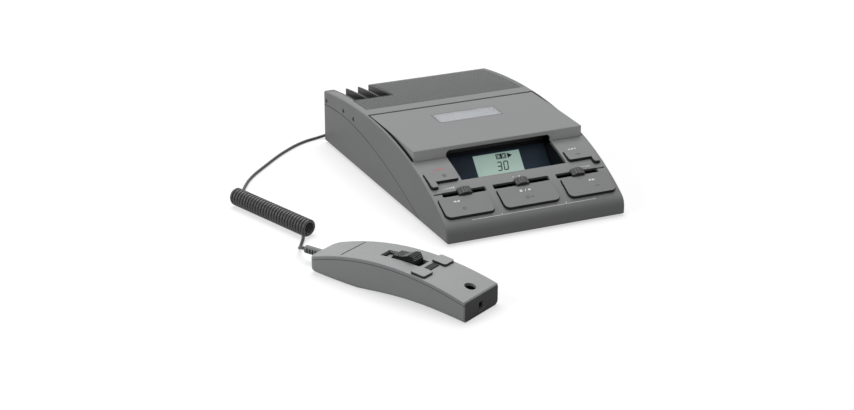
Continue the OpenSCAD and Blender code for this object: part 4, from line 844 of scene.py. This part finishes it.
# Painted light on the front face of the lid's lip.
paint_faces(
    soft["cassette_lid"], lip_painted_light,
    lambda f: f.normal.y < -LID_FACING and f.calc_center_median().y < lip_back,
)
# Painted light on the sides of the lid.
paint_faces(
    soft["cassette_lid"], painted_light_lid_side,
    lambda f: abs(f.normal.x) > LID_FACING and abs(f.calc_center_median().x - NOSE_X * MM) > lid_edge,
)
low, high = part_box("speaker_grille")


def round_grille(face):
    """True for the faces of the case that border the dotted panel."""
    middle = face.calc_center_median()
    outside = middle.x > high.x - LEDGE or middle.y > high.y - LEDGE
    return face.normal.z > END_FACING and middle.y > low.y and outside


paint_faces(soft["top_shell"], grille_grey, round_grille)
print("pieces with more finishes", [n for n, o in soft.items() if len(o.data.materials) > 1])

# %% [markdown]
# ## Back of the display recess
# Over the display one would look past it into the tape deck.
# A wall with soft edges stands there, fixed to the case and clear of the lid, and its dark grey is
# painted shade.
# It is a cube, scaled to a plate and bevelled.

# %% Recess wall
WALL_AT = (0, 75.6, 37.9)
WALL_SIZE = (85 * MM, 1.0 * MM, 9.6 * MM)
WALL_ROUND = 0.3 * MM
WALL_SMOOTH = math.radians(40)
bpy.ops.object.select_all(action="DESELECT")
bpy.ops.mesh.primitive_cube_add(size=1, location=place(*WALL_AT))
recess_wall = bpy.context.object
recess_wall.scale = WALL_SIZE
settle()
edit_all()
bpy.ops.mesh.bevel(offset=WALL_ROUND, segments=2, affect="EDGES")
bpy.ops.object.mode_set(mode="OBJECT")
bpy.ops.object.shade_smooth_by_angle(angle=WALL_SMOOTH)
# The wall's dark grey is painted shade.
finish_piece(recess_wall, "recess_wall", "case", "dark_plastic", slider_dark_and_shade)
print("recess wall", len(recess_wall.data.polygons), "faces")

# %% [markdown]
# ## The dotted panel
# The panel over the speaker is a plate with a close grid of small round holes.
# The holes could be cut one by one, but a grid of squares is quicker.
# Each square gets an inset, cut corners and a sunk middle.
# The sheet is bent row by row to the curve of the case before the holes go in.
# So the holes stand square to it.

# %% Dotted panel: the bent sheet
COLUMNS = 69
ROWS = 36
NOTCH_COLUMNS = 18
NOTCH_ROWS = 22
PANEL_T = 1.1 * MM
HAIR = 0.05 * MM
NEAR_ROW = 0.2 * MM
PROBE_IN = 3 * MM


def thicken(height):
    """Gives a flat mesh in edit mode a thickness, and points its faces outwards."""
    bpy.ops.mesh.select_all(action="SELECT")
    bpy.ops.mesh.extrude_region_move(TRANSFORM_OT_translate={"value": (0, 0, height)})
    bpy.ops.mesh.select_all(action="SELECT")
    bpy.ops.mesh.normals_make_consistent(inside=False)


low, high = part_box("speaker_grille")
wide, deep = high.x - low.x, high.y - low.y
bpy.ops.object.select_all(action="DESELECT")
bpy.ops.mesh.primitive_grid_add(x_subdivisions=COLUMNS, y_subdivisions=ROWS, size=1)
panel = bpy.context.object
panel.location = ((low.x + high.x) / 2, (low.y + high.y) / 2, 0)
panel.scale = (wide, deep, 1)
settle()
bpy.ops.object.mode_set(mode="EDIT")
for row in range(ROWS + 1):
    y = low.y + deep * row / ROWS
    inside = min(max(y, low.y + HAIR), high.y - HAIR)
    height = top_of("speaker_grille", high.x - PROBE_IN, inside)[0].z
    pick(panel, lambda v: abs(v.co.y - y) < NEAR_ROW)
    bpy.ops.transform.translate(value=(0, 0, height))
notch_x = low.x + wide * NOTCH_COLUMNS / COLUMNS
notch_y = high.y - deep * NOTCH_ROWS / ROWS
pick(panel, lambda f: f.calc_center_median().x < notch_x and f.calc_center_median().y > notch_y, "FACE")
bpy.ops.mesh.delete(type="FACE")
thicken(-PANEL_T)
print("panel", COLUMNS, "by", ROWS, "cells of", round(PER_M * wide / COLUMNS, 2), "mm")

# %% Dotted panel: the holes
LAND = 0.36 * MM
CORNER = 0.33 * MM
HOLE_TAPER = 0.06 * MM
HOLE_DEPTH = 0.65 * MM
HOLE_SIDES = 8
PANEL_TOP = 0.9
PANEL_SMOOTH = math.radians(30)
panel.data.materials.append(grille_grey)
panel.data.materials.append(hole_painted_shade)
pick(panel, lambda f: f.normal.z > PANEL_TOP, "FACE")
bpy.ops.mesh.inset(thickness=LAND, use_individual=True)
bpy.ops.mesh.bevel(offset=CORNER, affect="VERTICES", segments=1)
pick(panel, lambda f: f.normal.z > PANEL_TOP and len(f.verts) == HOLE_SIDES, "FACE")
bpy.ops.mesh.inset(thickness=HOLE_TAPER, depth=-HOLE_DEPTH, use_individual=True)
# The sunk middle of each hole gets painted shade.
panel.active_material_index = 1
bpy.ops.object.material_slot_assign()
bpy.ops.object.mode_set(mode="OBJECT")
only(panel)
bpy.ops.object.shade_smooth_by_angle(angle=PANEL_SMOOTH)
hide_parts("speaker_grille")
finish_piece(panel, "dotted_speaker_panel", "case", "case_plastic")
print("panel faces", len(panel.data.polygons))

# %% [markdown]
# ## Marks
# The display and the keys carry flat printed marks.
# Each sign starts as a flat primitive, is shaped, and gets a hair of thickness, which makes it a plate.
# One sign of each kind is modelled.
# The others are copies with their own mesh, joined into one mark and laid on the surface.

# %% Flat signs: triangle and bar
INK = 0.12 * MM
CORNER_CUT = 0.06 * MM


def raised(obj):
    """Gives a flat face the thickness of ink and closes it."""
    only(obj)
    settle()
    bpy.ops.object.mode_set(mode="EDIT")
    thicken(INK)
    bpy.ops.object.mode_set(mode="OBJECT")
    return obj


def sign_triangle():
    """A triangle one millimetre each way that points to the right."""
    bpy.ops.mesh.primitive_circle_add(vertices=3, radius=1, fill_type="NGON")
    obj = bpy.context.object
    obj.rotation_euler.z = math.radians(-90)
    settle()
    obj.scale = (MM / 1.5, MM / math.sqrt(3), 1)
    obj.location.x = -MM / 6
    return raised(obj)


def sign_bar():
    """A square millimetre with its corners taken off."""
    bpy.ops.mesh.primitive_plane_add(size=MM)
    obj = bpy.context.object
    edit_all()
    bpy.ops.mesh.bevel(offset=CORNER_CUT, affect="VERTICES", segments=2)
    bpy.ops.object.mode_set(mode="OBJECT")
    return raised(obj)


signs = {"triangle": sign_triangle(), "bar": sign_bar()}
print("signs", list(signs))

# %% Flat signs: disc, ring and segment
DISC_SIDES = 28
RING_WIDTH = 0.16
SEGMENT_L = 4
OFF_MIDDLE = 0.1 * MM


def sign_ring(hollow):
    """A disc a millimetre across, or a ring if hollow is its width."""
    bpy.ops.mesh.primitive_circle_add(vertices=DISC_SIDES, radius=MM / 2, fill_type="NGON")
    obj = bpy.context.object
    if hollow:
        edit_all()
        bpy.ops.mesh.inset(thickness=hollow * MM)
        bpy.ops.mesh.delete(type="FACE")
        bpy.ops.object.mode_set(mode="OBJECT")
    return raised(obj)


def sign_segment():
    """A display segment a millimetre wide and four long, pointed at both ends, upright."""
    radius = MM / math.sqrt(3)
    bpy.ops.mesh.primitive_circle_add(vertices=6, radius=radius, fill_type="NGON")
    obj = bpy.context.object
    bpy.ops.object.mode_set(mode="EDIT")
    for side in (1, -1):
        pick(obj, lambda v: v.co.y * side > OFF_MIDDLE)
        bpy.ops.transform.translate(value=(0, side * (SEGMENT_L / 2 * MM - radius), 0))
    bpy.ops.object.mode_set(mode="OBJECT")
    return raised(obj)


signs |= {"disc": sign_ring(0), "ring": sign_ring(RING_WIDTH), "segment": sign_segment()}
print("signs", {name: len(obj.data.polygons) for name, obj in signs.items()})

# %% Laying marks
SUNK = 0.3 * INK


def mark(name, parts, turn, body, slot, material):
    """Joins copies of signs, each with its middle, size and turn, and lays them on a surface."""
    copies = []
    for kind, x, y, wide, tall, degrees in parts:
        copy = signs[kind].copy()
        copy.data = signs[kind].data.copy()
        bpy.context.scene.collection.objects.link(copy)
        copy.matrix_world = (
            Matrix.Translation((x * MM, y * MM, -SUNK))
            @ Matrix.Rotation(math.radians(degrees), 4, "Z")
            @ Matrix.Diagonal((wide, tall, 1, 1))
        )
        only(copy)
        settle()
        copies.append(copy)
    only(copies[0])
    for copy in copies:
        copy.select_set(True)
    if len(copies) > 1:
        bpy.ops.object.join()
    whole = bpy.context.object
    whole.matrix_world = turn
    return finish_piece(whole, name, body, slot, material)


def on_node(node, x, y):
    """A matrix that lies flat on top of a CAD node at a place in millimetres."""
    spot = place(x, y, 0)
    point, normal = top_of(node, spot.x, spot.y)
    return Matrix.Translation(point) @ Matrix.Rotation(math.atan2(-normal.y, normal.z), 4, "X")


# %% [markdown]
# The display shows two figures of seven segments and a sign of a tape.
# They could be type, but real segments lean a little and have pointed ends, so they are built from one.
# The middle of the display is worked out from the top edge of its tilted pane.

# %% Display figures
PANE_TILT = math.radians(49)
PANE_TOP_Y = 72.5
PANE_TOP_Z = 35.1
LCD_X = 1.8
LCD_DOWN = 10
LCD_SUNK = 0.3
LEAN = 0.14
DIGIT_W = 3.1
DIGIT_H = 6.4
STROKE = 0.78
SEGMENT_GAP = 0.1
lcd_y = PANE_TOP_Y - LCD_DOWN * math.cos(PANE_TILT) + LCD_SUNK * math.sin(PANE_TILT)
lcd_z = PANE_TOP_Z - LCD_DOWN * math.sin(PANE_TILT) - LCD_SUNK * math.cos(PANE_TILT)
lcd_middle = place(LCD_X, lcd_y, lcd_z)
on_lcd = Matrix.Translation(lcd_middle) @ Matrix.Rotation(PANE_TILT, 4, "X")


def digit(x, y, lit):
    """The lit segments of one figure: a top, b and c right, d foot, e and f left, g middle."""
    half = DIGIT_H / 4
    places = {
        "a": (0, 2 * half, 90), "d": (0, -2 * half, 90), "g": (0, 0, 90),
        "b": (DIGIT_W / 2, half, 0), "c": (DIGIT_W / 2, -half, 0),
        "e": (-DIGIT_W / 2, -half, 0), "f": (-DIGIT_W / 2, half, 0),
    }
    parts = []
    for name in lit:
        dx, dy, turn = places[name]
        long = (DIGIT_W if turn else 2 * half) - SEGMENT_GAP
        lean = 0 if turn else -math.degrees(math.atan(LEAN))
        parts.append(("segment", x + dx + LEAN * dy, y + dy, STROKE, long / SEGMENT_L, turn + lean))
    return parts


figures = digit(0.0, -2.5, "abcdg") + digit(5.15, -2.5, "abcdef")
mark("lcd_figures", figures, on_lcd, "case", "dark_plastic", lcd_ink)
tape_sign = [
    ("bar", 3.3, 6.7, 8.0, 0.6, 0), ("bar", 3.3, 3.3, 8.0, 0.6, 0),
    ("bar", -0.4, 5.0, 0.7, 3.0, 0), ("bar", 7.0, 5.0, 0.7, 3.0, 0), ("bar", 3.3, 5.0, 1.3, 3.0, 0),
    ("ring", 1.35, 5.0, 2.5, 2.5, 0), ("ring", 5.25, 5.0, 2.5, 2.5, 0),
    ("triangle", 10.3, 4.8, 3.9, 4.1, 0),
]
mark("lcd_tape_sign", tape_sign, on_lcd, "case", "dark_plastic", lcd_ink)
print("display middle", [round(v, 4) for v in lcd_middle])

# %% [markdown]
# The keys and the panel have small printed signs: triangles, bars, discs and rings.
# Each is laid where the surface lies under it, and rides on the key or the case that carries it.

# %% White signs on the keys and the panel
white_signs = {
    "rewind_sign": (
        "key_rewind", -54.2, 18.4,
        [("triangle", -1.4, 0, 2.4, 1.9, 180), ("triangle", 1.2, 0, 2.4, 1.9, 180)],
    ),
    "wind_sign": (
        "key_wind", 51.9, 17.5,
        [("triangle", -1.2, 0, 2.4, 1.9, 0), ("triangle", 1.4, 0, 2.4, 1.9, 0)],
    ),
    "stop_play_sign": (
        "key_stop_play", -0.7, 18.2,
        [
            ("bar", -3.6, 0, 1.9, 1.7, 0), ("bar", 0, 0, 0.45, 2.3, -24),
            ("triangle", 3.4, 0, 2.4, 1.9, 0),
        ],
    ),
}
for name, (node, x, y, parts) in white_signs.items():
    mark(name, parts, on_node(node, x, y), node, "key_plastic", print_white)
panel_signs = {
    "search_sign": (
        52.9, 49.6,
        [
            ("triangle", -2.2, 0, 2.2, 1.7, 0), ("triangle", 0.3, 0, 2.2, 1.7, 0),
            ("bar", 2.2, 0, 0.5, 1.8, 0),
        ],
    ),
    "volume_sign": (
        -54.2, 31.5,
        [("bar", -4 + 1.6 * i, -0.55 + 0.12 * i, 0.6, 0.5 + 0.27 * i, 0) for i in range(6)],
    ),
    "speed_sign": (
        -1.4, 32.0,
        [("bar", -2.4, 0, 1.4, 0.45, 0), ("bar", 2.4, 0, 1.4, 0.45, 0), ("bar", 2.4, 0, 0.45, 1.4, 0)],
    ),
    "tone_sign": (
        52.7, 31.0,
        [("bar", -4 + 1.6 * i, -0.1, 0.6, 0.6 + 0.24 * abs(i - 2.5), 0) for i in range(6)],
    ),
}
for name, (x, y, parts) in panel_signs.items():
    mark(name, parts, on_node("top_shell", x, y), "case", "case_plastic", print_white)
nose_line = [("bar", x, 0, length, 0.34, 0) for x, length in ((-37.4, 22.6), (0, 48.6), (37.2, 22.6))]
nose_line += [("bar", -25.2, 0.5, 0.5, 1.7, 0), ("bar", 25, 0.5, 0.5, 1.7, 0)]
mark("nose_line", nose_line, on_node("top_shell", 0, 4.6), "case", "case_plastic", print_white)
print("white signs", len(white_signs) + len(panel_signs) + 1)

# %% Red and dark signs
red = [("disc", 0, 0, 1.7, 1.7, 0), ("bar", -3, 0, 2.6, 0.5, 0), ("bar", 3, 0, 2.6, 0.5, 0)]
mark("record_sign", red, on_node("top_shell", -53.2, 50.6), "case", "case_plastic", print_red)
dark_signs = {
    "record_ring": ("key_record", -52.8, 41.6, [("ring", 0, 0, 3, 3, 0), ("disc", 0, 0, 1, 1, 0)]),
    "search_arrow": (
        "key_search", 52.8, 41.5,
        [("bar", -0.6, 0, 2.6, 0.4, 0), ("triangle", 1.4, 0, 1.6, 1.6, 0)],
    ),
    "rewind_ring": ("key_rewind", -51.0, 12.0, [("ring", 0, 0, 2.4, 2.4, 0)]),
    "stop_play_ring": (
        "key_stop_play", -0.2, 12.2,
        [("ring", -1.6, 0, 2.8, 2.8, 0), ("bar", 2.2, 0, 2.6, 0.4, 0)],
    ),
    "wind_bar": ("key_wind", 53.6, 12.4, [("bar", 0, 0, 3.4, 0.4, 0)]),
}
for name, (node, x, y, parts) in dark_signs.items():
    mark(name, parts, on_node(node, x, y), node, "key_plastic", print_dark)
print("one red sign and", len(dark_signs), "dark ones")

# %% [markdown]
# Two small things are raised a hair like the signs, so the same helper lays them.
# A ring of painted shade goes round each latch hole in the left wall of the case.
# Three pale bars of painted highlight lie on the sloping front of the thumb slide.

# %% Painted shade round the latch holes
HALF_W = 70.0
SHADE_RING_OD = 3.3
LATCH_HOLES = ((168.2, 38.5), (188.2, 38.7), (223.2, 35.8))
on_side = Matrix(((0, 0, -1, 0), (-1, 0, 0, 0), (0, 1, 0, 0), (0, 0, 0, 1)))
on_side.translation = place(-HALF_W, 0, 0)
hole_shade_rings = [("ring", -y, z, SHADE_RING_OD, SHADE_RING_OD, 0) for y, z in LATCH_HOLES]
mark("latch_hole_painted_shade", hole_shade_rings, on_side, "case", "dark_plastic", bar_dark_and_shade)
print("hole_shade_rings", len(hole_shade_rings))

# %% Painted highlights on the front of the thumb slide
THUMB_Y = 49.4
RIB_FOOT = 24.7
THUMB_RISE = 3.4
THUMB_RUN = 2
HIGHLIGHT_FIRST = 0.9
HIGHLIGHT_PITCH = 1.2
HIGHLIGHT_W = 9.2
HIGHLIGHT_T = 0.4
mic_across = Vector((math.cos(MIC_TURN), math.sin(MIC_TURN), 0))
up_front = (UP * THUMB_RISE - THUMB_RUN * mic_ahead).normalized()
on_front = Matrix((mic_across, up_front, mic_across.cross(up_front))).transposed().to_4x4()
on_front.translation = MIC_AT - mic_ahead * THUMB_Y * MM + UP * RIB_FOOT * MM
front_rib_highlights = [("bar", 0, HIGHLIGHT_FIRST + HIGHLIGHT_PITCH * i, HIGHLIGHT_W, HIGHLIGHT_T, 0) for i in range(3)]
mark("thumb_front_painted_highlights", front_rib_highlights, on_front, "thumb_slide", "dark_plastic", rib_painted_highlight)
print("ribs", len(front_rib_highlights))

# %% [markdown]
# ## The card under the window
# The clear plate in the lid lets a ruled card show.
# The card is a thin plate with rounded corners under the clear plate.
# Its lines could be painted, but raised a hair they stay sharp, and the helper for signs makes them.

# %% Ruled card
WINDOW_T = 1.3 * MM
CARD_W = 47.0 * MM
CARD_D = 13.6 * MM
CARD_T = 0.3 * MM
CARD_CORNER = 0.8 * MM
CARD_BELOW = 0.9 * MM
RULE_W = 42
RULE_T = 0.7
RULE_PITCH = 2.2
RULE_INDENT = 3
low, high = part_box("lid_window")
window_tilt = math.atan2(high.z - low.z - WINDOW_T, high.y - low.y)
bpy.ops.object.select_all(action="DESELECT")
bpy.ops.mesh.primitive_plane_add(size=1)
card = bpy.context.object
card.scale = (CARD_W, CARD_D, 1)
settle()
edit_all()
bpy.ops.mesh.bevel(offset=CARD_CORNER, affect="VERTICES", segments=3)
thicken(-CARD_T)
bpy.ops.object.mode_set(mode="OBJECT")
card_middle = (low + high) / 2 - UP * CARD_BELOW
under = Matrix.Translation(card_middle) @ Matrix.Rotation(window_tilt, 4, "X")
card.matrix_world = under
finish_piece(card, "window_card", "lid", "lid_plastic", card_white)
rules = []
for i in range(5):
    indent = RULE_INDENT * (i % 2)
    rules.append(("bar", indent / 2 - 1, (2 - i) * RULE_PITCH, RULE_W - indent, RULE_T, 0))
mark("window_card_rules", rules, under, "lid", "lid_plastic", card_rule)
for obj in signs.values():
    bpy.data.objects.remove(obj)
print("card under the window, tilt", round(math.degrees(window_tilt), 2))

# %% [markdown]
# ## Floor and light
# The photograph was taken on white with broad soft light from above.
# So the floor is white and the lamps are large.
# A floor bright enough to look white would throw too much light up at the machine.
# So the floor and the world are white only to the camera, in reflections and through glass.


# %% What the camera sees
def seen_directly(tree):
    """Adds a value that is one for rays from the camera, from a reflection or through glass."""
    ray = add(tree, "LightPath", -800, 200).outputs
    mirrored = combine(tree, "MAXIMUM", ray["Is Glossy Ray"], ray["Is Transmission Ray"], -600, 200)
    return combine(tree, "MAXIMUM", mirrored, ray["Is Camera Ray"], -400, 200)


# %% Floor
FLOOR_SIZE = 12
FLOOR_GREY = 0.35
FLOOR_GLOW = 0.6
bpy.ops.mesh.primitive_plane_add(size=FLOOR_SIZE, location=(0, 0, 0))
floor = bpy.context.object
floor.name = "floor"
floor_white = bpy.data.materials.new("floor_white")
floor_white.use_nodes = True
tree = floor_white.node_tree
tree.nodes.clear()
out = add(tree, "OutputMaterial", 600, 0)
direct = seen_directly(tree)
paint = add(tree, "MixRGB", -200, 0)
paint.inputs[1].default_value = (FLOOR_GREY, FLOOR_GREY, FLOOR_GREY, 1)
paint.inputs[2].default_value = (1, 1, 1, 1)
plain = add(tree, "BsdfDiffuse", 0, 0)
glow = add(tree, "Emission", 0, -200, Color=(1, 1, 1, 1), Strength=1.0)
share = add(tree, "Math", 0, 250, operation="MULTIPLY")
share.inputs[1].default_value = FLOOR_GLOW
mix = add(tree, "MixShader", 300, 0)
tree.links.new(direct, paint.inputs[0])
tree.links.new(paint.outputs[0], plain.inputs["Color"])
tree.links.new(direct, share.inputs[0])
tree.links.new(share.outputs[0], mix.inputs[0])
tree.links.new(plain.outputs[0], mix.inputs[1])
tree.links.new(glow.outputs[0], mix.inputs[2])
tree.links.new(mix.outputs[0], out.inputs[0])
floor.data.materials.append(floor_white)
floor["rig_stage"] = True
print("floor", FLOOR_SIZE, "m wide")

# %% World and lamps
WORLD_LIGHT = 0.25
world = bpy.data.worlds.new("studio")
bpy.context.scene.world = world
world.use_nodes = True
tree = world.node_tree
background = tree.nodes["Background"]
background.inputs["Color"].default_value = (1, 1, 1, 1)
level = add(tree, "MapRange", -200, 200)
level.inputs["To Min"].default_value = WORLD_LIGHT
level.inputs["To Max"].default_value = 1.0
tree.links.new(seen_directly(tree), level.inputs["Value"])
tree.links.new(level.outputs["Result"], background.inputs["Strength"])


def lamp(name, location, target, size, power):
    """A large soft lamp that looks at a target."""
    bpy.ops.object.light_add(type="AREA", location=location)
    light = bpy.context.object
    light.name = name
    light.data.size = size
    light.data.energy = power
    light.rotation_euler = (Vector(target) - Vector(location)).to_track_quat("-Z", "Y").to_euler()
    return light


lamp("top_lamp", (0.35, 0.9, 2.5), (0, 0, 0), size=2.4, power=70)
left_lamp = lamp("left_lamp", (-0.65, -0.12, 0.45), (0, 0.02, 0), size=0.35, power=1.7)
left_lamp.visible_camera = False
print("world at", WORLD_LIGHT, "and two lamps")

# %% [markdown]
# ## Sizes
# The finished model is measured once more, and the size of its box is printed. Finishes don't change the
# size, so it should agree with the imported model to a fraction of a millimetre.

# %% Sizes and finish
low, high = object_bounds()
print("visual box", [round(v, 4) for v in high - low])
